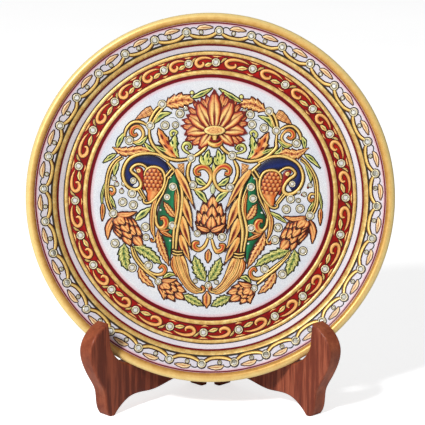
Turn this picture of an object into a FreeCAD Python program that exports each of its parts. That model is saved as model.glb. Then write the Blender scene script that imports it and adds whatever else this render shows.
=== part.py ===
"""A stone-set china display plate leaning on its folding two-board wooden stand.

Millimetres. +Z is up, the plate faces -Y, and the origin is under the middle of the whole
object's box, at table height. The plate is drawn in its own frame (floor of the well at
height 0, +Z towards the viewer) and each board in its own (s away from the hinge pin, z up,
o outward from the inner face); both are then placed in the object's frame.
"""
import FreeCAD, Part
import math
import os

Vector = FreeCAD.Vector

# ---- whole object -----------------------------------------------------------------------
LEAN = 13.5                  # plate leans back from the vertical, degrees
OPENING = 44.0               # each board swings this far out from the closed stand, degrees
RIM_CLEARANCE = 21.5         # the rim's lowest point above the table
RIM_TO_PIN = 36.9            # hinge pin behind the origin; the origin is mid-depth

# ---- china plate ------------------------------------------------------------------------
PLATE_RADIUS = 127.0         # a ten-inch plate
BEAD_RADIUS = 3.1            # round bead along the rim
BEAD_CENTRE = (PLATE_RADIUS - BEAD_RADIUS, 11.3)
BEAD_FRONT_ANGLE = 166.0     # where the bead meets the border cone, degrees
BEAD_BACK_ANGLE = 245.0      # where it meets the underside
WELL_RADIUS = 101.8          # flat floor of the well
WALL_BREAK = (106.2, 3.2)    # radius and height where the wall steepens
WALL_TOP = (109.8, 6.5)      # wall meets the border cone
BASE_THICKNESS = 6.0
FOOT_RING_RADIUS = 75.0
FOOT_RING_HALF_WIDTH = 3.0
FOOT_RING_DROP = 2.4         # below the base
UNDERSIDE_TURN = 98.0        # the underside stays level out to here
UNDERSIDE_RISE = (111.6, 2.9)

# ---- raised gilding and enamel ------------------------------------------------------------
OUTER_WELL_RING = (98.6, 101.6)
INNER_WELL_RING = (84.9, 88.7)
RED_BAND = (88.7, 98.6)
RED_BAND_THICKNESS = 0.4
RING_CROWN = 0.9             # height of the raised gold rings
CROWN_FLATS = 8              # narrow cones that make up a ring's rounded top

# ---- set stones ---------------------------------------------------------------------------
LARGE_SETTING = 2.8          # outer radius of the collar round a stone
MEDIUM_SETTING = 2.15
SMALL_SETTING = 1.4
ACCENT_SETTING = 1.25
COLLAR_SHARE = 0.72          # stone radius over collar radius
COLLAR_HEIGHT_SHARE = 0.42   # collar height over collar radius
STONE_HEIGHT_SHARE = 0.62    # stone height over collar radius
STONE_SIDES = 8
STONE_GAP = 0.03             # between stone and collar, and under both
SEAT_GAP_ON_CONE = 0.06      # flat collars on the hollow cone stand this far off it
BORDER_CELLS = 32
BORDER_RADIUS = 115.0
BORDER_START = 3.0           # first border stone, degrees clockwise of the top
ACCENT_RADIUS = 114.0
ACCENT_ADVANCE = 0.45        # of a cell, clockwise of the border stone
RED_BAND_STONE_RADIUS = 93.7
# The 25 stones of the red band are spaced by hand; degrees clockwise of the top.
RED_BAND_ANGLES = (2.4, 18.3, 33.6, 49.2, 62.1, 75.4, 90.1, 106, 122, 136.9, 151.5, 167.9, 182.9,
                   197.4, 213.6, 227, 240, 253.7, 268.7, 283.4, 299.8, 315, 327.1, 339.9, 350.8)
# The medallion's halves nearly mirror each other; together they are turned a little clockwise.
MEDALLION_TURN = 2.2         # degrees clockwise
MEDALLION_SHIFT = 0.8        # of its mirror line, to the right
LEFT_LARGE = ((-36.6, 63.2), (-44.4, 48.2), (-34.1, 48.7), (-24.1, 57.3), (-58.4, 37.3),
              (-15.2, 26.7), (-13.3, 8.0), (-55.1, 0.7), (-27.0, 6.4), (-61.4, -5.6),
              (-54.0, -7.3), (-67.6, -13.7), (-26.3, -20.5), (-45.0, -22.3), (-65.6, -34.4),
              (-53.1, -50.7), (-42.0, -48.8))
LEFT_MEDIUM = ((-26.9, 49.3), (-30.8, -0.9), (-44.3, -29.3), (-34.7, -59.6), (-8.8, -25.3),
               (-54.7, 9.6))
LEFT_SMALL = ((-20.3, 61.0), (-9.0, -58.4), (-66.1, 6.7), (-61.2, 7.2), (-62.5, 1.9),
              (-68.1, 10.6), (-49.6, -2.4))
RIGHT_LARGE = ((37.6, 61.1), (43.2, 48.0), (34.6, 49.5), (24.6, 58.5), (26.1, 51.6),
               (57.4, 39.8), (13.3, 29.6), (12.6, 7.4), (27.0, 8.3), (28.8, 0.3),
               (54.8, 1.1), (61.7, -5.4), (52.1, -6.2), (68.7, -9.9), (28.3, -20.2),
               (46.9, -19.1), (45.1, -27.8), (64.7, -34.7), (51.2, -51.4), (38.8, -48.2),
               (8.3, -27.1))
RIGHT_MEDIUM = ((55.6, 11.4), (32.0, -61.7))
RIGHT_SMALL = ((20.3, 60.8), (5.6, -58.6), (64.2, 4.6), (59.9, 6.3), (60.2, 0.2), (68.0, 11.0))
AXIS_MEDIUM = ((0.0, -26.5), (0.0, -60.9))

# ---- stand boards -------------------------------------------------------------------------
BOARD_THICKNESS = 12.0
FACE_GAP = 0.1               # inner face to the plane through the pin axis
EDGE_ROUNDING = 1.5
REAR_EDGE = 2.9              # distance of the rear edge from the pin axis
UPRIGHT_TOP = 150.0
UPRIGHT_CROWN = 155.5
FRONT_FOOT = (93.5, 98.0)
REAR_FOOT = (4.0, 9.0)
SEAT = (78.5, 34.1)          # lowest point of the notch that holds the rim
ARCH = ((20.0, 9.6), (33.0, 12.1), (57.0, 9.3), (79.0, 9.6), (88.0, 5.0))
SCROLL = ((101.3, 7.0), (102.7, 18.0), (107.4, 27.0), (112.2, 35.9), (115.3, 51.0),
          (112.3, 57.7), (106.6, 63.0))
HOOK_TOP = (98.4, 66.5)
HOOK_INNER = (97.2, 56.0)
NOTCH = ((95.0, 45.9), (88.0, 38.0), SEAT, (71.0, 34.9), (60.0, 38.7), (50.0, 47.5))
UPRIGHT_START_Z = 62.0
UPRIGHT_FACE = 13.7          # upright edge: depth from the rim's lowest point at table height
UPRIGHT_SLOPE = math.tan(math.radians(LEAN))

# ---- brass butt hinges ----------------------------------------------------------------------
HINGE_BASES = {"lower": 30.0, "upper": 100.0}
HINGE_LENGTH = 30.0
KNUCKLES = 5
KNUCKLE_GAP = 0.15
BARREL_RADIUS = 2.5
PIN_RADIUS = 1.25
PIN_CLEARANCE = 0.05
LEAF_THICKNESS = 1.2
LEAF_REACH = 16.0
LEAF_RELIEF = 2.75           # leaf edge beside the other leaf's knuckles
MORTISE_GAP = 0.02
PIN_HEAD_RADIUS = 1.9
PIN_HEAD_HEIGHT = 0.9
SCREW_OFFSETS = (-9.0, 9.0)
SCREW_REACH = 9.8
SCREW_HEAD_RADIUS = 2.3
SCREW_RADIUS = 1.1
SCREW_LENGTH = 9.0
SCREW_SLOT = 0.5
SCREW_GAP = 0.02

LEAN_RAD = math.radians(LEAN)
OPENING_RAD = math.radians(OPENING)


# ---- placing ------------------------------------------------------------------------------
def plate_placement():
    """The plate's own frame in the object's frame, with the rim at its clearance."""
    reach, height = BEAD_CENTRE
    z = RIM_CLEARANCE + BEAD_RADIUS + reach * math.cos(LEAN_RAD) - height * math.sin(LEAN_RAD)
    depth = reach * math.sin(LEAN_RAD) + height * math.cos(LEAN_RAD)
    y = RIM_TO_PIN - 60.0 + depth
    turn = FreeCAD.Rotation(Vector(1, 0, 0), 90.0 - LEAN)
    return FreeCAD.Placement(Vector(0, y, z), turn)


def board_placement():
    """The left board's (s, z, o) frame in the object's frame."""
    away = Vector(-math.sin(OPENING_RAD), -math.cos(OPENING_RAD), 0)
    outward = Vector(-math.cos(OPENING_RAD), math.sin(OPENING_RAD), 0)
    turn = FreeCAD.Rotation(away, Vector(0, 0, 1), outward, "XYZ")
    return FreeCAD.Placement(Vector(0, RIM_TO_PIN, 0), turn)


PLATE_FRAME = plate_placement()
BOARD_FRAME = board_placement()


def placed(shape, placement):
    shape = shape.copy()
    shape.transformShape(placement.toMatrix())
    return shape


def right_hand(shape):
    return shape.mirror(Vector(0, 0, 0), Vector(1, 0, 0))


def write(node, shapes):
    shape = shapes[0] if len(shapes) == 1 else Part.makeCompound(shapes)
    shape.exportStep("parts/" + node + ".step")


# ---- plate --------------------------------------------------------------------------------
def on_bead(angle):
    reach, height = BEAD_CENTRE
    turn = math.radians(angle)
    return Vector(reach + BEAD_RADIUS * math.cos(turn), 0, height + BEAD_RADIUS * math.sin(turn))


def rz(radius, height):
    return Vector(radius, 0, height)


def turned(edges):
    """Solid of revolution about the plate's axis from a closed outline."""
    face = Part.Face(Part.Wire(Part.__sortEdges__(edges)))
    solid = face.revolve(Vector(0, 0, 0), Vector(0, 0, 1), 360)
    return solid if solid.ShapeType == "Solid" else solid.Solids[0]


def polyline(points):
    return [Part.makeLine(a, b) for a, b in zip(points, points[1:])]


def plate_body():
    inner = FOOT_RING_RADIUS - FOOT_RING_HALF_WIDTH
    outer = FOOT_RING_RADIUS + FOOT_RING_HALF_WIDTH
    base = -BASE_THICKNESS
    front = polyline([rz(0, 0), rz(WELL_RADIUS, 0), rz(*WALL_BREAK), rz(*WALL_TOP),
                      on_bead(BEAD_FRONT_ANGLE)])
    reach, height = BEAD_CENTRE
    bead = Part.Arc(on_bead(BEAD_FRONT_ANGLE), rz(reach + BEAD_RADIUS, height),
                    on_bead(BEAD_BACK_ANGLE)).toShape()
    under = polyline([on_bead(BEAD_BACK_ANGLE), rz(*UNDERSIDE_RISE),
                      rz(UNDERSIDE_TURN, base), rz(outer, base)])
    ring = Part.Arc(rz(outer, base), rz(FOOT_RING_RADIUS, base - FOOT_RING_DROP),
                    rz(inner, base)).toShape()
    back = polyline([rz(inner, base), rz(0, base), rz(0, 0)])
    return turned(front + [bead] + under + [ring] + back)


def crowned_ring(start, end):
    """Raised ring whose foot lies on the straight profile from start to end."""
    a = rz(*start)
    b = rz(*end)
    along = b - a
    normal = Vector(-along.z, 0, along.x).normalize()
    points = []
    for i in range(CROWN_FLATS + 1):
        share = i / CROWN_FLATS
        rise = RING_CROWN * math.sin(math.pi * share) ** 0.75
        points.append(a + along * share + normal * rise)
    return turned(polyline(points + points[:1]))


def flat_ring(radii, thickness):
    inner, outer = radii
    points = [rz(inner, 0), rz(outer, 0), rz(outer, thickness), rz(inner, thickness)]
    return turned(polyline(points + points[:1]))


# ---- stones -------------------------------------------------------------------------------
def collar(setting):
    """Round gilded collar, its top rolled over, standing on height 0."""
    inner = setting * COLLAR_SHARE
    height = setting * COLLAR_HEIGHT_SHARE
    middle = (inner + setting) / 2
    shoulder = height * 0.55
    edges = polyline([rz(inner, shoulder), rz(inner, 0), rz(setting, 0), rz(setting, shoulder)])
    edges.append(Part.Arc(rz(setting, shoulder), rz(middle, height), rz(inner, shoulder)).toShape())
    return turned(edges)


def stone(setting):
    """Faceted stone: eight-sided girdle, triangular crown facets and a flat table."""
    radius = setting * COLLAR_SHARE - STONE_GAP
    height = setting * STONE_HEIGHT_SHARE

    def ring(share, z, turn):
        step = 2 * math.pi / STONE_SIDES
        return [Vector(radius * share * math.cos(step * (i + turn)),
                       radius * share * math.sin(step * (i + turn)), z)
                for i in range(STONE_SIDES)]

    foot = ring(1.0, STONE_GAP, 0)
    girdle = ring(1.0, height * 0.45, 0)
    table = ring(0.58, height, 0.5)
    loops = [foot, table]
    for i in range(STONE_SIDES):
        j = (i + 1) % STONE_SIDES
        loops.append([foot[i], foot[j], girdle[j], girdle[i]])
        loops.append([girdle[i], girdle[j], table[i]])
        loops.append([table[i], girdle[j], table[j]])
    faces = [Part.Face(Part.makePolygon(loop + loop[:1])) for loop in loops]
    solid = Part.Solid(Part.Shell(faces))
    if solid.Volume < 0:
        solid.reverse()
    return solid


def clockwise(radius, degrees):
    turn = math.radians(degrees)
    return radius * math.sin(turn), radius * math.cos(turn)


def cone_seat(radius, degrees):
    """Where a setting stands on the border cone, square to it."""
    run = on_bead(BEAD_FRONT_ANGLE) - rz(*WALL_TOP)
    slope = math.atan2(run.z, run.x)
    height = WALL_TOP[1] + (radius - WALL_TOP[0]) * math.tan(slope)
    x, y = clockwise(radius, degrees)
    tilt = FreeCAD.Rotation(Vector(0, 1, 0), -math.degrees(slope))
    spin = FreeCAD.Rotation(Vector(0, 0, 1), 90.0 - degrees)
    seat = FreeCAD.Placement(Vector(x, y, height), spin.multiply(tilt))
    return seat.multiply(FreeCAD.Placement(Vector(0, 0, SEAT_GAP_ON_CONE), FreeCAD.Rotation()))


def floor_seat(x, y, height=0.0):
    spin = FreeCAD.Rotation(Vector(0, 0, 1), math.degrees(math.atan2(y, x)))
    return FreeCAD.Placement(Vector(x, y, height + STONE_GAP), spin)


def medallion_seats(*lists):
    turn = math.radians(-MEDALLION_TURN)
    seats = []
    for x, y in sum(lists, ()):
        x = x + MEDALLION_SHIFT
        seats.append(floor_seat(x * math.cos(turn) - y * math.sin(turn),
                                x * math.sin(turn) + y * math.cos(turn)))
    return seats


def write_settings(name, groups):
    """One node of collars and one of stones for (setting radius, seats) groups."""
    collars = []
    stones = []
    for setting, seats in groups:
        collar_shape = collar(setting)
        stone_shape = stone(setting)
        for seat in seats:
            collars.append(placed(collar_shape, PLATE_FRAME.multiply(seat)))
            stones.append(placed(stone_shape, PLATE_FRAME.multiply(seat)))
    write(name + "_collars", collars)
    write(name + "_stones", stones)


# ---- stand boards ---------------------------------------------------------------------------
def sz(s, z, o=FACE_GAP):
    return Vector(s, z, o)


def curve(points):
    spline = Part.BSplineCurve()
    spline.interpolate([sz(*point) for point in points])
    return spline.toShape()


def upright_edge(z):
    """Distance from the pin at which the upright's front edge runs just behind the plate."""
    return (60.0 - UPRIGHT_FACE - UPRIGHT_SLOPE * z) / math.cos(OPENING_RAD)


def board_outline():
    heel = (REAR_EDGE, 2.5)
    upright_foot = (upright_edge(UPRIGHT_START_Z), UPRIGHT_START_Z)
    upright_tip = (upright_edge(UPRIGHT_TOP), UPRIGHT_TOP)
    crown_middle = ((REAR_EDGE + upright_tip[0]) / 2, UPRIGHT_CROWN)
    crown = Part.Arc(sz(*upright_tip), sz(*crown_middle), sz(REAR_EDGE, UPRIGHT_TOP))
    return Part.Wire([
        Part.makeLine(sz(*heel), sz(REAR_FOOT[0], 0)),
        Part.makeLine(sz(REAR_FOOT[0], 0), sz(REAR_FOOT[1], 0)),
        curve(((REAR_FOOT[1], 0),) + ARCH + ((FRONT_FOOT[0], 0),)),
        Part.makeLine(sz(FRONT_FOOT[0], 0), sz(FRONT_FOOT[1], 0)),
        curve(((FRONT_FOOT[1], 0),) + SCROLL + (HOOK_TOP,)),
        Part.makeLine(sz(*HOOK_TOP), sz(*HOOK_INNER)),
        curve((HOOK_INNER,) + NOTCH + (upright_foot,)),
        Part.makeLine(sz(*upright_foot), sz(*upright_tip)),
        crown.toShape(),
        Part.makeLine(sz(REAR_EDGE, UPRIGHT_TOP), sz(*heel)),
    ])


def rounded_edges(board):
    """Outline edges of both faces, except the rear edge, which stays crisp at the hinge."""
    chosen = []
    for edge in board.Edges:
        box = edge.BoundBox
        level = box.ZLength < 1e-6
        at_rear = box.XMax < REAR_EDGE + 0.01
        at_foot = box.YMax < 2.6
        if level and not at_rear and not at_foot:
            chosen.append(edge)
    return chosen


def blank_board():
    face = Part.Face(board_outline())
    board = face.extrude(Vector(0, 0, BOARD_THICKNESS - FACE_GAP))
    return board.makeFillet(EDGE_ROUNDING, rounded_edges(board))


def rod(radius, s, z, start, end):
    return Part.makeCylinder(radius, end - start, sz(s, z, start), Vector(0, 0, 1))


def screw_places(base):
    return [(SCREW_REACH, base + HINGE_LENGTH / 2 + offset) for offset in SCREW_OFFSETS]


def board():
    shape = blank_board()
    depth = LEAF_THICKNESS + MORTISE_GAP
    for base in HINGE_BASES.values():
        mortise = Part.makeBox(LEAF_REACH + MORTISE_GAP, HINGE_LENGTH + 2 * MORTISE_GAP, depth,
                               sz(0, base - MORTISE_GAP))
        shape = shape.cut(mortise)
        for s, z in screw_places(base):
            hole = rod(SCREW_RADIUS + SCREW_GAP, s, z, FACE_GAP, SCREW_LENGTH + SCREW_GAP)
            shape = shape.cut(hole)
    return shape.Solids[0]


# ---- hinges ---------------------------------------------------------------------------------
def knuckle_spans(base):
    length = (HINGE_LENGTH - KNUCKLE_GAP * (KNUCKLES - 1)) / KNUCKLES
    return [(base + i * (length + KNUCKLE_GAP), length) for i in range(KNUCKLES)]


def upright_rod(radius, base, length):
    return Part.makeCylinder(radius, length, sz(0, base, 0), Vector(0, 1, 0))


def countersink(s, z, gap):
    return Part.makeCone(SCREW_HEAD_RADIUS + gap, SCREW_RADIUS + gap, LEAF_THICKNESS,
                         sz(s, z), Vector(0, 0, 1))


def hinge_leaf(base, first_knuckle):
    """Flat leaf with every second knuckle, drawn on the left board's inner face."""
    leaf = Part.makeBox(LEAF_REACH - LEAF_RELIEF, HINGE_LENGTH, LEAF_THICKNESS,
                        sz(LEAF_RELIEF, base))
    for start, length in knuckle_spans(base)[first_knuckle::2]:
        leaf = leaf.fuse(Part.makeBox(LEAF_RELIEF + 1, length, LEAF_THICKNESS, sz(0, start)))
        leaf = leaf.fuse(upright_rod(BARREL_RADIUS, start, length))
    leaf = leaf.cut(upright_rod(PIN_RADIUS + PIN_CLEARANCE, base - 1, HINGE_LENGTH + 2))
    for s, z in screw_places(base):
        leaf = leaf.cut(countersink(s, z, SCREW_GAP))
    return leaf.removeSplitter().Solids[0]


def hinge_pin(base):
    """Pin with a low domed head over each end of the barrel."""
    top = base + HINGE_LENGTH + KNUCKLE_GAP
    bottom = base - KNUCKLE_GAP
    pin = upright_rod(PIN_RADIUS, bottom, top - bottom)
    for end, way in ((top, 1), (bottom, -1)):
        head = Part.makeCone(PIN_HEAD_RADIUS, PIN_HEAD_RADIUS * 0.6, PIN_HEAD_HEIGHT,
                             sz(0, end, 0), Vector(0, way, 0))
        pin = pin.fuse(head)
    return pin.removeSplitter().Solids[0]


def screw(s, z):
    """Countersunk slotted screw, flush with the leaf."""
    body = countersink(s, z, 0).fuse(rod(SCREW_RADIUS, s, z, FACE_GAP, SCREW_LENGTH))
    slot = Part.makeBox(SCREW_HEAD_RADIUS * 2 + 1, SCREW_SLOT, SCREW_SLOT,
                        sz(s - SCREW_HEAD_RADIUS - 0.5, z - SCREW_SLOT / 2))
    return body.cut(slot).removeSplitter().Solids[0]


# ---- build ------------------------------------------------------------------------------------
def build_plate():
    floor_rings = {"outer_well_gold_ring": OUTER_WELL_RING, "inner_well_gold_ring": INNER_WELL_RING}
    write("plate_body", [placed(plate_body(), PLATE_FRAME)])
    for name, (inner, outer) in floor_rings.items():
        write(name, [placed(crowned_ring((inner, 0), (outer, 0)), PLATE_FRAME)])
    write("wall_gold_ring", [placed(crowned_ring(WALL_BREAK, WALL_TOP), PLATE_FRAME)])
    write("red_enamel_band", [placed(flat_ring(RED_BAND, RED_BAND_THICKNESS), PLATE_FRAME)])

    cell = 360.0 / BORDER_CELLS
    starts = [BORDER_START + cell * i for i in range(BORDER_CELLS)]
    border = [cone_seat(BORDER_RADIUS, angle) for angle in starts]
    accents = [cone_seat(ACCENT_RADIUS, angle + cell * ACCENT_ADVANCE) for angle in starts]
    band = [floor_seat(*clockwise(RED_BAND_STONE_RADIUS, angle), RED_BAND_THICKNESS)
            for angle in RED_BAND_ANGLES]
    write_settings("border", [(LARGE_SETTING, border)])
    write_settings("border_accent", [(ACCENT_SETTING, accents)])
    write_settings("red_band", [(LARGE_SETTING, band)])
    write_settings("medallion", [
        (LARGE_SETTING, medallion_seats(LEFT_LARGE, RIGHT_LARGE)),
        (MEDIUM_SETTING, medallion_seats(LEFT_MEDIUM, RIGHT_MEDIUM, AXIS_MEDIUM)),
        (SMALL_SETTING, medallion_seats(LEFT_SMALL, RIGHT_SMALL))])


def build_stand():
    left_board = placed(board(), BOARD_FRAME)
    write("left_stand_board", [left_board])
    write("right_stand_board", [right_hand(left_board)])
    screws = []
    for name, base in HINGE_BASES.items():
        write(name + "_hinge_left_leaf", [placed(hinge_leaf(base, 0), BOARD_FRAME)])
        write(name + "_hinge_right_leaf", [right_hand(placed(hinge_leaf(base, 1), BOARD_FRAME))])
        write(name + "_hinge_pin", [placed(hinge_pin(base), BOARD_FRAME)])
        screws += [placed(screw(s, z), BOARD_FRAME) for s, z in screw_places(base)]
    write("left_hinge_screws", screws)
    write("right_hinge_screws", [right_hand(shape) for shape in screws])


os.makedirs("parts", exist_ok=True)
build_plate()
build_stand()
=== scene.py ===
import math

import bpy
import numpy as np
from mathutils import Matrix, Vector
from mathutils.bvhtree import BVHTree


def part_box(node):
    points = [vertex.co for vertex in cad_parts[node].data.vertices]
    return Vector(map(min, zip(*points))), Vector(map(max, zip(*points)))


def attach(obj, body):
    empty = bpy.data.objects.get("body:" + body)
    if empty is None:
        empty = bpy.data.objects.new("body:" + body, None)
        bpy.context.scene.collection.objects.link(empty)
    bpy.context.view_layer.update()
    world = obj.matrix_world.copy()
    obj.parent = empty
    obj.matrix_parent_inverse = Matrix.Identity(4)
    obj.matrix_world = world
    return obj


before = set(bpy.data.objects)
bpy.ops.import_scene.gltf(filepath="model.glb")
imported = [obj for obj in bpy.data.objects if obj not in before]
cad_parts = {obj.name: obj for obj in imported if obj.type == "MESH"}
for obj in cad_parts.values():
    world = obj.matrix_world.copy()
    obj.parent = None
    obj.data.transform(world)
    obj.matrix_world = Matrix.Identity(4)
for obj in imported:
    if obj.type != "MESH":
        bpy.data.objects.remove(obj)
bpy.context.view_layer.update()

# Looks of the stone-set china display plate on its folding stand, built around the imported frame.
#
# The relief is drawn in millimetres in the plate's own plane: x to the right, y towards the
# plate's top, height along the plate's normal. Every raised motif is a ribbon: a smooth middle
# line with a half-width on each side and a rounded crown, painted by vertex colour.

MM = 0.001
MEDALLION_TURN = math.radians(-2.2)   # the medallion is set a little clockwise, as its stones are
MEDALLION_SHIFT = 0.8                 # mm, of its mirror line to the right
LOTUS_CENTRE = (2.9, 46.4)            # mm, of the lotus's seed disc
SUNK = 0.15                           # mm, how far relief reaches into the china
LINE = 0.6                            # mm, painted contour round a motif
THINNEST = 0.04                       # mm, least half-width of a stroke
LOWEST = 0.03                         # mm, least height of a stroke over its lift
GIRTH_POWER = 0.55                    # how a stroke's height follows its width
SHARP_ANGLE = math.radians(48)        # edges of the relief steeper than this stay sharp
TINY = 1e-9

# The right half is not quite the left one's mirror image: (x, y) of the half drawing, then how
# far that spot is moved, all in millimetres; places between are moved in proportion.
NUDGE_REACH = 7.0            # mm, over which a spot's nudge fades
NUDGE_REST = 0.08            # share of staying put; far from every spot it wins
RIGHT_NUDGES = (
    (-36.6, 63.2, -1, -2.1), (-44.4, 48.2, 1.2, -0.2), (-34.1, 48.7, -0.5, 0.8),
    (-24.1, 57.3, -0.5, 1.2), (-26.9, 49.3, 0.8, 2.3), (-58.4, 37.3, 1, 2.5),
    (-15.2, 26.7, 1.9, 2.9), (-13.3, 8, 0.7, -0.6), (-27, 6.4, 0, 1.9), (-54.7, 9.6, -0.9, 1.8),
    (-55.1, 0.7, 0.3, 0.4), (-61.4, -5.6, -0.3, 0.2), (-54, -7.3, 1.9, 1.1),
    (-67.6, -13.7, -1.1, 3.8), (-26.3, -20.5, -2, 0.3), (-45, -22.3, -1.9, 3.2),
    (-44.3, -29.3, -0.8, 1.5), (-65.6, -34.4, 0.9, -0.3), (-53.1, -50.7, 1.9, -0.7),
    (-42, -48.8, 3.2, 0.6), (-34.7, -59.6, 2.7, -2.1), (-8.8, -25.3, 0.5, -1.8),
    (-30.8, -0.9, 2, 1.2), (-9, -58.4, 3.4, -0.2), (-16.2, 66.8, -2, -1.7), (-31.2, 57.4, 0, -0.3),
    (-53.9, 41.6, 3.1, 2.1), (-69.5, 31.1, 4.3, 5.2), (-42.3, 29.8, -2.1, 1.8),
    (-39.6, 19.2, -0.6, 0.4), (-46.4, -4, 1, -0.3), (-56.7, 15.9, -0.8, 2.1),
    (-31.9, 18, -0.7, 1.7), (-39.1, 46, 1.8, -0.5), (-28, 44.2, 0.9, 1.7),
    (-18.8, 34.2, -1.4, -0.4), (-45.7, 58.4, 0.9, 1.6), (-22.1, 20.7, -0.9, 1),
    (-10.9, 16.9, -0.8, 1.6), (-28.1, -42.3, 1.5, -1), (-22.1, -38.2, 1.8, 0.1),
    (-11.8, -7.2, 1.9, -1.1), (-12.8, -21.4, 1.7, -0.2), (-46.3, -35.7, -3.4, 1.4),
    (-70.6, -30.9, -0.9, 4.5), (-56.8, -51, 1.7, 2), (-34.4, -46.7, 0.1, 1.9),
    (-33.5, -52, 1.9, 0.2), (-9.8, -40, 2.8, -0.9), (-2.7, -56.6, 1.3, 0.1),
    (-4.7, -63.5, 2.4, 0.2), (-34.4, -16.9, -1.1, 0.8), (-20.2, -3, 1.2, 0), (-21.4, -16, 1, 0),
    (-23, -26, 1.2, 0), (-23.6, 6, 0.6, 0.6), (-0.5, 20, 0, 0), (-0.5, -30, 0, 0),
    (-0.5, -72, 0, 0))


# ---- colours
def srgb(r, g, b):
    value = np.array([r, g, b], float) / 255.0
    return np.where(value <= 0.04045, value / 12.92, ((value + 0.055) / 1.055) ** 2.4)


GOLD = srgb(220, 172, 84)
# pale and dark gold: on the cords they are a painted highlight and painted edge shade
GOLD_LIGHT = srgb(250, 218, 136)
GOLD_EDGE_SHADE = srgb(140, 90, 36)
INK = srgb(60, 12, 4)
CORD_INK = srgb(40, 20, 6)
GREEN_INK = srgb(18, 28, 14)
LEAF = srgb(186, 184, 84)
LEAF_LIGHT = srgb(234, 230, 142)
LEAF_CORE = srgb(24, 70, 24)
SERRATE = srgb(166, 168, 66)
SERRATE_LIGHT = srgb(232, 224, 136)
VEIN = srgb(40, 66, 16)
SPINE = srgb(24, 90, 44)
ORANGE = srgb(216, 110, 46)
ORANGE_LIGHT = srgb(250, 194, 118)
ORANGE_DARK = srgb(150, 44, 20)
AMBER = srgb(232, 172, 88)
MAROON = srgb(112, 16, 6)
BLUE = srgb(10, 22, 74)
BLUE_LIGHT = srgb(24, 44, 112)
VEIN_ORANGE = srgb(160, 34, 14)
FIELD_GREEN = srgb(8, 98, 58)
FIELD_LIGHT = srgb(34, 140, 92)
FIELD_DARK = srgb(4, 50, 24)
RED = srgb(186, 34, 20)
DEEP_RED = srgb(124, 12, 8)
OCHRE = srgb(224, 158, 74)
OCHRE_LIGHT = srgb(250, 214, 136)
PEARL = srgb(244, 242, 232)
RED_INK = srgb(66, 4, 4)
COLLAR_RED = srgb(60, 6, 6)


# ---- plate frame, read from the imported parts
PLATE_RADIUS = 126.5        # mm, where the measured profile of the face ends
PROFILE_STEP = 0.25         # mm
RAY_START = 0.05            # m over the red band, above every part of the face


def node_points(name):
    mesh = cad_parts[name].data
    co = np.zeros(len(mesh.vertices) * 3)
    mesh.vertices.foreach_get("co", co)
    return co.reshape(-1, 3)


def plate_axes():
    """Centre of the red band's mid-plane and the plate's x, y and normal directions."""
    points = node_points("red_enamel_band")
    centre = (points.min(0) + points.max(0)) / 2
    _, directions = np.linalg.eigh(np.cov((points - centre).T))
    normal = directions[:, 0] * (-1 if directions[1, 0] > 0 else 1)
    x = np.array([1.0, 0.0, 0.0])
    return centre, x, np.cross(normal, x), normal


PLATE_CENTRE, PLATE_X, PLATE_Y, PLATE_N = plate_axes()


def radial_profile():
    """Height of the plate's face over the red band's mid-plane, by radius, in millimetres."""
    trees = []
    for name in ("plate_body", "red_enamel_band"):
        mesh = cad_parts[name].data
        polygons = [tuple(p.vertices) for p in mesh.polygons]
        trees.append(BVHTree.FromPolygons([v.co for v in mesh.vertices], polygons))
    radii = np.arange(0.0, PLATE_RADIUS, PROFILE_STEP)
    heights = []
    for radius in radii:
        origin = PLATE_CENTRE + PLATE_Y * radius * MM + PLATE_N * RAY_START
        hits = [tree.ray_cast(Vector(origin), Vector(-PLATE_N))[3] for tree in trees]
        heights.append((RAY_START - min(hit for hit in hits if hit is not None)) / MM)
    return radii, np.array(heights)


PROFILE = radial_profile()


def surface(x, y):
    return np.interp(np.hypot(x, y), *PROFILE)


def to_world(x, y, height):
    """Plate millimetres to metres in the frame."""
    x, y, height = (np.asarray(v, float)[..., None] * MM for v in (x, y, height))
    return PLATE_CENTRE + x * PLATE_X + y * PLATE_Y + height * PLATE_N


def to_plate(points):
    offset = (points - PLATE_CENTRE) / MM
    return offset @ PLATE_X, offset @ PLATE_Y, offset @ PLATE_N


# ---- placing a drawing on the plate
def as_drawn(x, y):
    return x, y


def round_lotus(x, y):
    return LOTUS_CENTRE[0] + x, LOTUS_CENTRE[1] + y


def medallion(side):
    """Half-medallion drawing to plate millimetres; side -1 keeps the left half, +1 mirrors it."""
    nudges = np.array(RIGHT_NUDGES)
    cos, sin = math.cos(MEDALLION_TURN), math.sin(MEDALLION_TURN)

    def place(x, y):
        if side > 0:
            away = np.hypot(x[..., None] - nudges[:, 0], y[..., None] - nudges[:, 1])
            pull = np.exp(-(away / NUDGE_REACH) ** 2)
            total = pull.sum(-1) + NUDGE_REST
            x, y = x + (pull @ nudges[:, 2]) / total, y + (pull @ nudges[:, 3]) / total
        x = -side * x + MEDALLION_SHIFT
        return x * cos - y * sin, x * sin + y * cos
    return place


def polar(radius, degrees):
    """Point at a clock angle from the plate's top."""
    turn = math.radians(degrees)
    return radius * math.sin(turn), radius * math.cos(turn)


def clock(x, y):
    return math.degrees(math.atan2(x, y)) % 360


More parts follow.
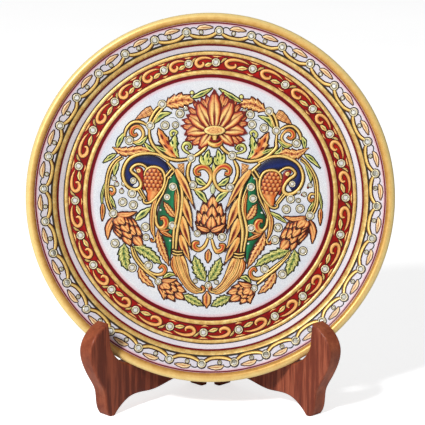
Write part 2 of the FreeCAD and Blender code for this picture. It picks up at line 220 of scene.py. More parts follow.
# ---- ribbons
def spline(points, step):
    """Smooth line through the points, resampled evenly. Returns (n, 2) points and 0..1 along."""
    p = np.array(points, float)
    if len(p) == 2:
        fine = p[0] + (p[1] - p[0]) * np.linspace(0, 1, 40)[:, None]
    else:
        p = np.vstack([2 * p[0] - p[1], p, 2 * p[-1] - p[-2]])
        t = np.linspace(0, 1, 24, endpoint=False)[:, None]
        parts = []
        for a, b, c, d in zip(p, p[1:], p[2:], p[3:]):
            parts.append(0.5 * (2 * b + (c - a) * t + (2 * a - 5 * b + 4 * c - d) * t ** 2
                                + (3 * b - a - 3 * c + d) * t ** 3))
        fine = np.vstack(parts + [p[-2:-1]])
    along = np.concatenate([[0], np.cumsum(np.hypot(*np.diff(fine, axis=0).T))])
    count = max(5, int(along[-1] / step) + 1)
    want = np.linspace(0, along[-1], count)
    line = np.stack([np.interp(want, along, fine[:, i]) for i in (0, 1)], 1)
    return line, want / along[-1]


def easing(values, t):
    """Values evenly spaced along a ribbon, joined smoothly."""
    values = np.atleast_1d(np.array(values, float))
    if len(values) == 1:
        return np.full_like(t, values[0])
    place = t * (len(values) - 1)
    low = np.clip(place.astype(int), 0, len(values) - 2)
    f = place - low
    f = f * f * (3 - 2 * f)
    return values[low] * (1 - f) + values[low + 1] * f


def mix(a, b, weight):
    weight = np.clip(np.asarray(weight, float), 0, 1)[..., None]
    return a * (1 - weight) + b * weight


def bell(x, width):
    return np.exp(-(x / width) ** 2)


def rim(U, start):
    return np.clip((np.abs(U) - start) / (1 - start), 0, 1)


def dome(T, U):
    return np.sqrt(np.clip(1 - (0.97 * U) ** 2, 0, 1))


def creased(T, U):
    """Leaf section: two swelling halves with a groove along the middle."""
    return dome(T, U) - 0.42 * bell(U, 0.16)


def plump(T, U):
    """Leaf section that stays thick to its edge, so that overlapping scales keep their outlines."""
    return 0.62 + 0.38 * dome(T, U) - 0.3 * bell(U, 0.15)


def flat(T, U):
    return np.ones_like(U * T)


class Sheet:
    """Collects closed strokes and turns them into one mesh piece that rides on the plate."""

    def __init__(self, name, place=as_drawn, mirrored=False):
        self.name, self.place, self.mirrored = name, place, mirrored
        self.points, self.faces, self.colours, self.gilt = [], [], [], []
        self.count = 0

    def sweep(self, sections, colours, gilt):
        """Joins closed cross-sections, (rows, girth, 3), into one closed skin."""
        rows, girth = sections.shape[:2]
        grid = self.count + np.arange(rows * girth).reshape(rows, girth)
        beside = np.roll(grid, -1, axis=1)
        quads = np.stack([grid[:-1], beside[:-1], beside[1:], grid[1:]], -1).reshape(-1, 4)
        faces = quads.tolist() + [grid[0, ::-1].tolist(), grid[-1].tolist()]
        if self.mirrored:
            faces = [face[::-1] for face in faces]
        self.faces += faces
        self.points.append(sections.reshape(-1, 3))
        self.colours.append(colours.reshape(-1, 3))
        self.gilt.append(np.full(rows * girth, gilt, float))
        self.count += rows * girth

    def ribbon(self, path, left, right=None, size=1, crown=0.9, lift=0, shape=dome, paint=None,
               gilt=0, outline=None, outline_rise=0, ink=None, step=0.45, across=9, teeth=0,
               bite=0.25):
        """One raised stroke. left and right are half-widths along the path, in millimetres or
        in shares of size; teeth notches bite into both edges."""
        sides = [np.multiply(side, size) for side in (left, left if right is None else right)]
        if outline:
            ink = CONTOUR_OF.get(paint, INK) if ink is None else ink
            self.underline(path, sides, outline, ink, lift + outline_rise, step, teeth, bite)
        line, t = spline(path, step)
        tangent = np.gradient(line, axis=0)
        tangent /= np.maximum(np.hypot(*tangent.T), TINY)[:, None]
        sides = [np.maximum(easing(side, t), THINNEST) for side in sides]
        if teeth:
            saw = 1 - bite * (1 - (t * teeth) % 1.0)
            sides = [side * saw for side in sides]
        T = t[:, None]
        U = np.sin(np.linspace(-1, 1, across) * math.pi / 2)[None, :]
        off = -U * np.where(U < 0, sides[0][:, None], sides[1][:, None])
        dx = line[:, :1] - tangent[:, 1:] * off
        dy = line[:, 1:] + tangent[:, :1] * off
        girth = sides[0] + sides[1]
        body = shape(T, U) * crown * ((girth / girth.max()) ** GIRTH_POWER)[:, None]
        colours = paint(T, U + 0 * T, dx, dy)
        if isinstance(colours, tuple):
            colours, bumps = colours
            body = body + bumps
        x, y = self.place(dx, dy)
        ground = surface(x, y)
        top = to_world(x, y, ground + lift + np.maximum(body, LOWEST))
        foot = to_world(x, y, ground - SUNK)
        self.sweep(np.concatenate([top, foot[:, -1:], foot[:, :1]], 1),
                   np.concatenate([colours, colours[:, -1:], colours[:, :1]], 1), gilt)

    def underline(self, path, sides, margin, ink, lift, step, teeth, bite):
        """Painted contour: a thin flat ribbon a little wider than the stroke above it."""
        path = [np.array(p, float) for p in path]
        head, tail = path[0] - path[1], path[-1] - path[-2]
        path[0] = path[0] + head / max(np.hypot(*head), TINY) * margin
        path[-1] = path[-1] + tail / max(np.hypot(*tail), TINY) * margin
        widths = [np.atleast_1d(side) + margin for side in sides]
        for values in widths:
            values[0] = max(values[0] * 0.8, margin * 0.8)
        self.ribbon(path, *widths, crown=0.1, lift=lift, shape=flat, paint=plain(ink), step=step,
                    across=3, teeth=teeth, bite=bite * 0.8)

    def bead(self, centre, radius, height, paint, lift=0, outline=None, squash=1, rings=5,
             segments=18):
        """Low dome, round or squashed in y, closed underneath; a very low one is flat."""
        if outline:
            self.bead(centre, radius + outline, 0.1, plain(INK), lift=lift, squash=squash,
                      rings=2, segments=segments)
        angle = np.linspace(0, 2 * math.pi, segments, endpoint=False)[None, :]
        slope = np.linspace(0, math.pi / 2, rings + 1)[:, None]
        share = np.cos(slope) + 0 * angle
        share[-1] = 0.02
        rise = np.sin(slope) if height > 0.15 else np.ones_like(slope)
        dx = centre[0] + radius * share * np.cos(angle)
        dy = centre[1] + radius * squash * share * np.sin(angle)
        x, y = self.place(dx, dy)
        ground = surface(x, y)
        rows = to_world(x, y, ground + lift + height * rise)
        foot = to_world(x[:1], y[:1], ground[:1] - SUNK)
        colours = paint(1 - share, share, dx, dy)
        self.sweep(np.concatenate([foot, rows]), np.concatenate([colours[:1], colours]), 0)

    # strokes used by every motif
    def cord(self, path, width, crown=1, lift=0):
        self.ribbon(path, [0.7, 1, 1, 1, 0.7], size=width, crown=crown, lift=lift,
                    paint=cord_paint, gilt=1, outline=LINE, ink=CORD_INK)

    def tendril(self, path):
        self.ribbon(path, [0.16, 0.16, 0.05], crown=0.2, paint=plain(GREEN_INK), across=5)

    def leaf(self, path, width, paint=None, lift=0, crown=0.8, blunt=False):
        widths = [0.55, 1, 1, 0.62, 0.05] if blunt else [0.12, 0.8, 1, 0.62, 0.06]
        self.ribbon(path, widths, size=width, crown=crown, lift=lift, shape=creased,
                    paint=paint or GREEN_LEAF, gilt=0.1, outline=LINE, step=0.4, across=13)

    def petal(self, foot, tip, width, lift, bend, paint=None):
        foot, tip = np.array(foot, float), np.array(tip, float)
        run = tip - foot
        middle = (foot + tip) / 2 + np.array([-run[1], run[0]]) * bend
        self.leaf([foot, middle, tip], width, paint or bud_paint, lift, 1, blunt=True)

    def toothed(self, path, width, count, orange=False, lift=0):
        widths = [0.15 * width, 0.9 * width, width, 0.72 * width, 0.06]
        self.ribbon(path, widths, crown=0.9, lift=lift, shape=creased,
                    paint=serrate(count, orange), gilt=0.1, outline=LINE,
                    ink=INK if orange else GREEN_INK, step=0.3, across=15, teeth=count, bite=0.36)

    def curl(self, path, width, head=1, lift=0, paint=None):
        """Cord that ends in a swollen hook with a coloured heart."""
        swell = width * head
        widths = [width * 0.8, width * 0.9, width, swell, swell * 1.1, swell * 0.6]
        self.ribbon(path, widths, crown=1, lift=lift, paint=paint or hook_paint, gilt=0.5,
                    outline=LINE, across=13)

    def spots(self, marks, ink, lift):
        """Painted almond cores: (start, end, half-width) each, lying on a leaf."""
        for start, end, width in marks:
            self.ribbon([start, end], [0.1, width, width * 0.9, 0.1], crown=0.12, lift=lift,
                        shape=flat, paint=plain(ink), across=5)

    def scales(self, root, tips, width, length, shares, fewer=1, clear=3.2):
        """Overlapping bud scales fanning from a root, fewer in each row towards it. They end
        at least clear millimetres away from the root."""
        tips, root = np.array(tips, float), np.array(root, float)
        last = len(tips) - 1
        for i, share in enumerate(shares):
            inset = 0.0 if i == 0 else 0.3 + 0.16 * i
            for place in np.linspace(inset, last - inset, len(tips) - i * fewer):
                tip = np.array([np.interp(place, np.arange(last + 1), tips[:, k]) for k in (0, 1)])
                reach = (tip - root) * share
                tip = root + reach
                span = np.hypot(*reach)
                foot = tip - reach * min(length, span - clear) / span
                middle = foot * 0.45 + tip * 0.55
                self.ribbon([foot, middle, tip], [0.5, 0.95, 1, 0.72, 0.34, 0.04], size=width,
                            crown=0.7, lift=0.36 * i, shape=plump, paint=bud_paint, gilt=0.1,
                            outline=0.42, outline_rise=0.3, step=0.35, across=17)

    def build(self):
        mesh = bpy.data.meshes.new(self.name)
        mesh.from_pydata(np.concatenate(self.points).tolist(), [], self.faces)
        paint = mesh.color_attributes.new("Paint", "FLOAT_COLOR", "POINT")
        rgba = np.insert(np.concatenate(self.colours), 3, 1.0, axis=1)
        paint.data.foreach_set("color", rgba.astype(np.float32).ravel())
        gilt = mesh.attributes.new("Gilt", "FLOAT", "POINT")
        gilt.data.foreach_set("value", np.concatenate(self.gilt).astype(np.float32))
        mesh.shade_smooth()
        mesh.set_sharp_from_angle(angle=SHARP_ANGLE)
        mesh.materials.append(relief)
        piece = bpy.data.objects.new(self.name, mesh)
        bpy.context.scene.collection.objects.link(piece)
        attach(piece, "plate")


# ---- paints: colour by place along (T) and across (U) a ribbon
def plain(colour):
    return lambda T, U, X, Y: colour + np.zeros(U.shape + (3,))


def cord_paint(T, U, X, Y):
    # painted highlight along the cord, a little off its middle, then painted shade towards its
    # edges under the inked rim
    colour = mix(GOLD, GOLD_LIGHT, bell(U + 0.1, 0.42))
    colour = mix(colour, GOLD_EDGE_SHADE, rim(U, 0.6))
    return mix(colour, CORD_INK, rim(U, 0.86) * 2)


def core_paint(body, light, core, edge, width=0.42, start=0.12, end=0.78, ink=None):
    """Leaf with a dark core, one light half, a pale edge and, where given, an inked rim."""
    def paint(T, U, X, Y):
        colour = mix(body, light, bell(U + 0.5, 0.35))
        span = np.clip((T - start) / (end - start), 0, 1)
        reach = width * np.sin(math.pi * span)
        colour = mix(colour, core, (reach - np.abs(U)) / 0.16 + 0 * U)
        colour = mix(colour, edge, bell(np.abs(U) - 0.74, 0.14))
        return colour if ink is None else mix(colour, ink, rim(U, 0.78) * 2.6)
    return paint


GREEN_LEAF = core_paint(LEAF, LEAF_LIGHT, LEAF_CORE, LEAF_LIGHT, ink=GREEN_INK)
FLAME = core_paint(ORANGE, ORANGE_LIGHT, MAROON, AMBER, width=0.36, start=0.02, end=0.8, ink=INK)
FEATHER = core_paint(srgb(226, 150, 72), srgb(248, 202, 120), MAROON, srgb(244, 194, 112),
                     width=0.42, start=0.16, end=0.92, ink=INK)


def bud_paint(T, U, X, Y):
    """Bud scale: two pale flanks, dark midline, red then inked edge, painted shade on its foot."""
    colour = mix(ORANGE, ORANGE_LIGHT, bell(np.abs(U) - 0.34, 0.3))
    colour = mix(colour, RED, rim(U, 0.4) * 0.9)
    # painted shade: the foot is darkened, as under the overlapping scale
    colour = mix(colour, ORANGE_DARK, (0.34 - T) * 1.8)
    colour = mix(colour, MAROON, bell(U, 0.09) * np.clip(1.25 - T * 1.6, 0, 1))
    return mix(colour, INK, rim(U, 0.78) * 3.6)


def veined_paint(body, light, vein, spine, veins):
    """Serrated leaf: oblique veins running from a darker spine to the notches."""
    def paint(T, U, X, Y):
        colour = mix(body, light, bell(np.abs(U) - 0.55, 0.3))
        phase = (T * veins - np.abs(U) * 1.6) % 1.0
        line = bell(phase - 0.5, 0.15) * np.clip((np.abs(U) - 0.06) / 0.12, 0, 1)
        colour = mix(colour, vein, line)
        colour = mix(colour, spine, bell(U, 0.12))
        colour = mix(colour, vein * 0.3, rim(U, 0.86) * 2.2)
        return colour, -0.14 * line
    return paint


def serrate(count, orange):
    if orange:
        return veined_paint(srgb(234, 138, 66), srgb(254, 212, 130), VEIN_ORANGE, MAROON, count)
    return veined_paint(SERRATE, SERRATE_LIGHT, VEIN, SPINE, count)


def lotus_paint(T, U, X, Y):
    """Petal running from ochre to a red tip, with a maroon wedge rising from its foot."""
    colour = mix(OCHRE, OCHRE_LIGHT, bell(np.abs(U) - 0.36, 0.26))
    colour = mix(colour, ORANGE, (T - 0.6) * 1.4)
    colour = mix(colour, RED, (T - 0.46) * 2.6 * (0.25 + rim(U, 0.15)))
    colour = mix(colour, RED, rim(U, 0.5) * 1.3)
    wedge = 0.4 * np.clip(1 - T / 0.78, 0, 1) ** 0.8
    colour = mix(colour, DEEP_RED, (wedge - np.abs(U)) / 0.1)
    return mix(colour, MAROON, rim(U, 0.8) * 3.4)


def tip_paint(T, U, X, Y):
    """Short petal showing between the large ones: orange under a red tip."""
    colour = mix(ORANGE, ORANGE_LIGHT, bell(np.abs(U) - 0.3, 0.24))
    colour = mix(colour, RED, (T - 0.56) * 2.6 * (0.4 + rim(U, 0.1)))
    colour = mix(colour, DEEP_RED, bell(U, 0.12) * np.clip(1.7 - T * 1.8, 0, 1))
    return mix(colour, INK, rim(U, 0.74) * 2.8)


def hook_paint(T, U, X, Y):
    """Gold cord with painted highlight and shade; its curled end swells round a red heart."""
    colour = mix(GOLD, GOLD_LIGHT, bell(U + 0.1, 0.4))
    heart = np.clip((T - 0.42) * 4, 0, 1) * np.clip((0.62 - np.abs(U)) / 0.2, 0, 1)
    colour = mix(colour, ORANGE, heart)
    colour = mix(colour, RED, heart * np.clip((0.4 - np.abs(U)) / 0.25, 0, 1))
    return mix(colour, GOLD_EDGE_SHADE, rim(U, 0.8) * 0.8)


def green_hook_paint(T, U, X, Y):
    """Pale green cord whose curled end swells round a dark green heart."""
    colour = mix(LEAF, LEAF_LIGHT, bell(U + 0.1, 0.5))
    heart = np.clip((T - 0.6) * 5, 0, 1) * np.clip((0.45 - np.abs(U)) / 0.2, 0, 1)
    return mix(mix(colour, LEAF_CORE, heart), GREEN_INK, rim(U, 0.84) * 2)


def scale_paint(T, U, X, Y):
    """Breast feathers: rows of overlapping rounded scales, plain towards the tip."""
    pitch, drop = 3.0, 2.6
    feathered = np.clip((0.72 - T) * 12, 0, 1)
    height = np.zeros_like(U)
    for layer in (0, 1, 2):
        row = np.floor(Y / drop) + layer
        dx = (X / pitch + (row % 2) * 0.5 + 0.5) % 1.0 - 0.5
        dy = (row * drop - Y) / pitch
        inside = np.clip(1 - np.hypot(dx / 0.5, dy / 1.05), 0, 1)
        height = np.where((dy > 0) & (inside > 0), inside, height)
    edge = np.clip(height * 3.4 - 0.25, 0, 1)
    colour = mix(MAROON, ORANGE, edge)
    colour = mix(colour, ORANGE_LIGHT, (height - 0.3) * 1.5)
    belly = mix(ORANGE, ORANGE_LIGHT, bell(U + 0.2, 0.4) * 0.6)
    colour = mix(belly, colour, feathered)
    return mix(colour, INK, rim(U, 0.88) * 2), 0.35 * np.sqrt(height) * feathered


def field_paint(deep, body, light):
    def paint(T, U, X, Y):
        colour = mix(body, light, bell(U + 0.25, 0.3) * 0.7)
        return mix(colour, deep, rim(U, 0.5) * 0.9)
    return paint


def stripe_paint(count):
    """Gilt fan with engraved ribs."""
    def paint(T, U, X, Y):
        line = bell((U * count / 2) % 1.0 - 0.5, 0.17) * np.clip(T * 3, 0, 1)
        cross = bell((T * 4.0) % 1.0 - 0.5, 0.16)
        colour = mix(ORANGE_LIGHT, ORANGE, (1 - T) * 0.5 + 0 * U)
        colour = mix(colour, DEEP_RED, np.maximum(line, cross * 0.7))
        return colour, -0.12 * line
    return paint


def lattice_paint(T, U, X, Y):
    """Pale ground cut by crossed brown lines."""
    a = bell((X + Y) / 2.3 % 1.0 - 0.5, 0.15)
    b = bell((X - Y) / 2.3 % 1.0 - 0.5, 0.15)
    return mix(ORANGE_LIGHT, DEEP_RED, np.maximum(a, b))


def seed_paint(T, U, X, Y):
    dots = np.clip(np.sin(X * 4.6) * np.sin(Y * 5.4 + 0.8) * 3 - 0.4, 0, 1)
    colour = mix(ORANGE_LIGHT, ORANGE_DARK, dots)
    return mix(colour, GOLD_LIGHT, (U - 0.68) * 8)


def comma_paint(T, U, X, Y):
    colour = mix(srgb(222, 140, 70), srgb(250, 200, 120), bell(U + 0.1, 0.38))
    colour = mix(colour, srgb(160, 60, 34), bell(U - 0.34, 0.1) * 0.55)
    return mix(colour, RED_INK, rim(U, 0.72) * 1.8)


VINE_LEAF = core_paint(srgb(228, 184, 118), srgb(248, 224, 172), srgb(170, 84, 36),
                       srgb(250, 222, 184), width=0.26, start=0.2, end=1.1)
COMMA_LEAF = core_paint(srgb(230, 168, 100), LEAF_LIGHT, ORANGE_DARK, LEAF_LIGHT, width=0.2)


def strand_paint(T, U, X, Y):
    colour = mix(OCHRE, ORANGE_LIGHT, bell(U + 0.1, 0.4))
    return mix(colour, INK, rim(U, 0.5) * 1.8)


LOBED_FLAME = core_paint(ORANGE, ORANGE_LIGHT, ORANGE_DARK, AMBER, width=0.1, ink=INK)
PALE_LEAF = core_paint(LEAF, LEAF_LIGHT, LEAF_LIGHT, LEAF_LIGHT, width=0.05, ink=GREEN_INK)

CONTOUR_OF = {GREEN_LEAF: GREEN_INK, PALE_LEAF: GREEN_INK, COMMA_LEAF: RED_INK,
              comma_paint: RED_INK, lotus_paint: MAROON, tip_paint: MAROON}   # others: INK


# ---- medallion: one half, drawn with x negative
def draw_upper_scrolls(s):
    """Gold cords and leaves between the lotus and the peacock."""
    s.tendril([(-31.5, 54), (-27.5, 54), (-24, 50.5), (-23.5, 48.5)])
    s.cord([(-37.6, 62.4), (-41.3, 58.4), (-44, 53.5), (-45.4, 49.3)], 1)
    s.cord([(-35.6, 61.2), (-39.1, 56.9), (-41.7, 52.5), (-43.3, 49.5)], 0.95)
    s.cord([(-45, 46), (-44.5, 40.5), (-42.5, 35.5), (-39, 31.5), (-35, 28), (-30.5, 26),
        (-25, 25), (-20, 25.5), (-16, 26.5)], 1.1, lift=0.3)
    s.cord([(-13.2, 28), (-9.5, 30.5), (-6.5, 33.5), (-4.5, 36.6)], 1.1)
    s.cord([(-46.2, 48), (-50, 50), (-53.5, 50.6), (-57, 49.7), (-60, 46.7), (-61.6, 43),
        (-61.8, 40)], 1)
    s.curl([(-55.6, 36), (-51.6, 37.4), (-49, 41), (-49.8, 45), (-53, 47.2), (-56.4, 45.8),
        (-57.2, 42.6), (-55.2, 40.8), (-53.4, 42)], 0.95, 1.35)
    s.leaf([(-55.2, 35.4), (-50.4, 36), (-46, 41.2)], 1.6)
    s.leaf([(-67, 31.6), (-65.2, 37), (-61.8, 43)], 1.9)
    s.ribbon([(-54.4, 52.2), (-49.6, 55.6), (-43.6, 59.4)], [0.3, 1.2, 2.2, 2.9, 2.4],
        [0.3, 1.4, 2.4, 3, 2.4], crown=0.7, paint=stripe_paint(5), outline=LINE, across=19)
    s.toothed([(-34.8, 62.6), (-28.5, 65), (-21, 66.9), (-13.6, 66)], 5.7, 5, True)
    s.leaf([(-41.4, 50), (-37.4, 55.4), (-30.2, 57.6)], 2.3)
    s.leaf([(-16.5, 68.3), (-10, 71.3), (-2.4, 75.6)], 1.9)
    s.bead((-16.3, 72), 1.2, 0.8, plain(LEAF_LIGHT), outline=LINE)
    s.leaf([(-27, 27.2), (-32.2, 30.6), (-40.4, 34.8)], 2.1, FLAME)
    s.leaf([(-31.6, 30.2), (-35.6, 32), (-40.2, 34.2)], 1.3, lift=0.5)
    s.ribbon([(-25.6, 26.6), (-30.4, 31.4), (-34.2, 37.4), (-38.7, 46.4)],
        [0.5, 3.4, 4.2, 3, 3.6, 2.6, 0.1], [0.5, 2.8, 4.4, 3.4, 4, 2.4, 0.1], crown=0.9, lift=0.3,
        shape=creased, paint=LOBED_FLAME, outline=LINE, across=15, teeth=3, bite=0.3)
    s.spots((((-37, 42.6), (-35.2, 38.6), 0.8), ((-32.8, 38.6), (-30.8, 35), 0.8),
        ((-34.8, 35.6), (-31.8, 32.6), 0.7), ((-29.8, 32), (-27.6, 29.2), 0.6)), MAROON, 1.15)
    s.ribbon([(-24, 27), (-26.8, 31.4), (-27.4, 36.6), (-26.8, 42.2)],
        [0.4, 1.6, 3.4, 2.8, 3.8, 2, 0.3], [0.4, 1.4, 2.6, 2.2, 3.2, 1.8, 0.3], crown=0.8,
        lift=0.2, shape=creased, paint=PALE_LEAF, outline=LINE, across=13, teeth=3, bite=0.25)
    s.spots((((-28.9, 38.6), (-28.2, 35.4), 0.7), ((-25.2, 38), (-25.4, 34.8), 0.7),
        ((-26.8, 33.4), (-26, 30.8), 0.6)), LEAF_CORE, 0.9)
    s.ribbon([(-29.2, 41.4), (-30, 43.6), (-28.2, 45.4), (-25.9, 44.2), (-27, 42.6)],
        [1, 0.9, 0.8, 0.8, 0.5], crown=0.8, lift=0.4, paint=PALE_LEAF, outline=0.4)
    s.curl([(-16.5, 29.8), (-19.5, 31.5), (-21.2, 34), (-19.8, 36.7), (-17, 36.6), (-15.9, 34.3),
        (-17.6, 33.2)], 0.85, 1.4, paint=green_hook_paint)
    s.leaf([(-40, 30.2), (-44.2, 32.2), (-48.2, 36.4)], 1.6)
    s.ribbon([(-22.2, 22.4), (-21.4, 18.2), (-20.3, 13.8)], [2.5, 1.6, 0.15], crown=0.5,
        paint=lattice_paint, outline=0.4, across=13, step=0.3)


def draw_side_scrolls(s):
    """The long arched leaf over the peacock and the cord down the outside."""
    s.toothed([(-69.6, 32), (-63.5, 29.6), (-56.5, 29.9), (-49, 31.2), (-39.5, 28.4)], 3.7, 6,
        True)
    s.leaf([(-67.2, 27.6), (-71, 25.4), (-76, 21.4)], 1.6)
    s.leaf([(-65.5, 22.3), (-67.4, 17.5), (-68, 12.4)], 1.8)
    s.cord([(-64, 26.2), (-68.5, 22.4), (-71.8, 16.5), (-73.2, 9), (-73.4, 2), (-72.6, -4.5),
        (-70.6, -10.5), (-69.4, -11.6)], 0.85)
    s.cord([(-62.5, 25), (-66.8, 21.8), (-70, 16), (-71.6, 9), (-71.9, 2), (-71, -4),
        (-68.6, -10.4)], 0.6)
    s.leaf([(-73.6, 8.5), (-75.4, 1.5), (-76, -3), (-75.4, -9)], 0.9)
    s.petal((-75.2, -7.5), (-75.2, -19), 1.5, 0, 0.02, FLAME)
    s.leaf([(-70.4, -1), (-69.2, -4.5), (-66.3, -9.8)], 1.2)
    s.curl([(-71.2, 4.8), (-68.6, 4.6), (-67.4, 2), (-69, -0.4), (-70.6, 1.4)], 0.75, 1.3)
    for x, y in ((-66.1, 6.7), (-61.2, 7.2), (-62.5, 1.9)):
        s.bead((x, y + 1.7), 0.75, 0.5, plain(MAROON), outline=0.15)


def draw_peacock(s):
    """Neck, head, breast, wing and tail of one peacock."""
    s.ribbon([(-32, 17.2), (-35.9, 21.1), (-41.3, 23.3), (-46.9, 24.2), (-52.3, 24.3),
        (-56.6, 21.9), (-59, 17.6), (-58.9, 13.4), (-56.9, 9.8), (-54, 7.2)],
        [2.8, 3.4, 3.8, 3.6, 2.6, 2.2, 2.2, 2.6, 3.4, 2.6], crown=0.5,
        paint=field_paint(srgb(4, 7, 26), BLUE, BLUE_LIGHT), outline=0.3, across=13)
    s.ribbon([(-53.4, 18.2), (-50.6, 16.6), (-49.4, 12.5), (-48.6, 8.4), (-47, 3.4)],
        [1.2, 2.3, 2.2, 1.4, 1, 0.4], crown=0.4, lift=0.2,
        paint=field_paint(MAROON, DEEP_RED, RED), outline=0.3)
    s.cord([(-30.6, 24), (-36.9, 27.8), (-42.3, 28.9), (-48.4, 28.7), (-54.5, 26.9), (-58.9, 23.5),
        (-61.4, 18.4), (-62, 13), (-60.2, 7.7), (-56.7, 4.4), (-52.8, 3.4), (-49.9, 4.9),
        (-49.2, 7.6), (-50.6, 10.8), (-53, 13.4), (-55.3, 15), (-56.6, 16.9), (-55.3, 19.2),
        (-52.6, 20.9), (-49.3, 21), (-46.6, 19.6), (-45, 17.8)], 1.15, crown=0.9, lift=0.3)
    s.cord([(-32, 23.5), (-27.5, 19), (-23.7, 14.5), (-20.6, 9.5), (-18, 3.5), (-17, -2.5)], 1.1,
        lift=0.3)
    s.bead((-51.2, 16.6), 1.5, 0.7, plain(OCHRE_LIGHT), lift=0.4, outline=0.4)
    s.bead((-51.5, 16.6), 0.6, 1, plain(ORANGE_DARK), lift=0.45)
    for path in ([(-50, 4.4), (-48.1, 1.3), (-45.6, -2.8)],
            [(-51.6, 3.8), (-49.4, 0.6), (-46.6, -3.4)]):
        s.cord(path, 0.6, lift=0.3)
    s.ribbon([(-41, 18.8), (-41, 14), (-40.9, 9), (-40.9, 3), (-42.6, -4.2)],
        [2.8, 6.2, 7.2, 6.8, 5, 3, 1.8], crown=1.1, paint=scale_paint, outline=LINE, across=31,
        step=0.28)
    s.cord([(-47.2, 13.4), (-46.4, 16.6), (-44.4, 18.8), (-41.5, 19.7), (-37.9, 19.3),
        (-34.6, 17.1), (-32.9, 12.6), (-33.4, 7.2), (-35.6, 2.6), (-38.8, -1.8), (-41.9, -4.6),
        (-44.9, -5.6), (-46.9, -4.6), (-46.6, -3)], 0.95, lift=0.35)
    s.cord([(-28.2, 18.9), (-32.9, 12.7)], 0.8, lift=0.5)
    s.cord([(-26.4, 17.2), (-31, 11.2)], 0.6, lift=0.4)
    draw_wing(s)
    draw_tail(s)


def draw_wing(s):
    """Green wing with its gold edge, long feathers, hook and flame leaves."""
    s.ribbon([(-27.6, 14.6), (-27.3, 10), (-27.2, 4), (-27.8, -2), (-28.8, -8), (-29.6, -15),
        (-29.4, -22), (-28.6, -30), (-27.8, -38), (-27.4, -44.5)],
        [2, 3.8, 5.6, 7, 7.2, 6.8, 5.2, 3.6, 2.2, 1, 0.1],
        [2, 3.6, 4.8, 6, 7, 7.4, 6, 4.2, 2.6, 1.2, 0.1], crown=0.5,
        paint=field_paint(FIELD_DARK, FIELD_GREEN, FIELD_LIGHT), outline=LINE, across=17)
    s.cord([(-30.4, 13.2), (-31.6, 8), (-33.6, 2), (-36.2, -3), (-38.2, -8), (-38.6, -14),
        (-37.6, -19.5)], 0.7, lift=0.25)
    s.ribbon([(-36.5, 0.2), (-39.2, -4.5), (-40.4, -11), (-40.6, -18), (-39.9, -24.5),
        (-38.4, -29.5)], [0.2, 1.3, 1.6, 1.5, 1.4, 0.3], crown=0.9, shape=creased, paint=FEATHER,
        outline=LINE)
    s.curl([(-38.2, -28.8), (-38.4, -31.4), (-40.2, -31.8), (-40.8, -30.2)], 0.55)
    s.curl([(-38.2, -14), (-37.6, -19), (-35.4, -22.2), (-32.2, -21.8), (-30.8, -18.8),
        (-32.2, -15.8), (-34.8, -15.8)], 0.95, 1.8, 0.4)
    s.leaf([(-35.4, -23.6), (-32, -24.4), (-28.4, -23.4)], 0.9, FLAME, 0.4)
    s.leaf([(-34.8, -24.6), (-30.4, -26.6), (-25.6, -28.6)], 1.4, FLAME, 0.4)
    s.toothed([(-36.4, -24.2), (-35.2, -31), (-32.4, -38.5), (-27.8, -48.2)], 3, 9, True, 0.2)
    s.toothed([(-24.6, -14.8), (-28.6, -10.4), (-33, -4.4)], 2.6, 6, True, 0.45)
    s.ribbon([(-25.2, 4.4), (-24.6, -1), (-24, -6), (-23.8, -11), (-24.6, -16.6)],
        [0.1, 1.1, 1.5, 1.2, 0.2], crown=0.9, lift=0.4, shape=creased, paint=FLAME, outline=LINE)
    for x, y in ((-35, -10), (-27.5, -31), (-29, 13)):
        s.bead((x, y), 0.7, 0.6, plain(PEARL), lift=0.5)


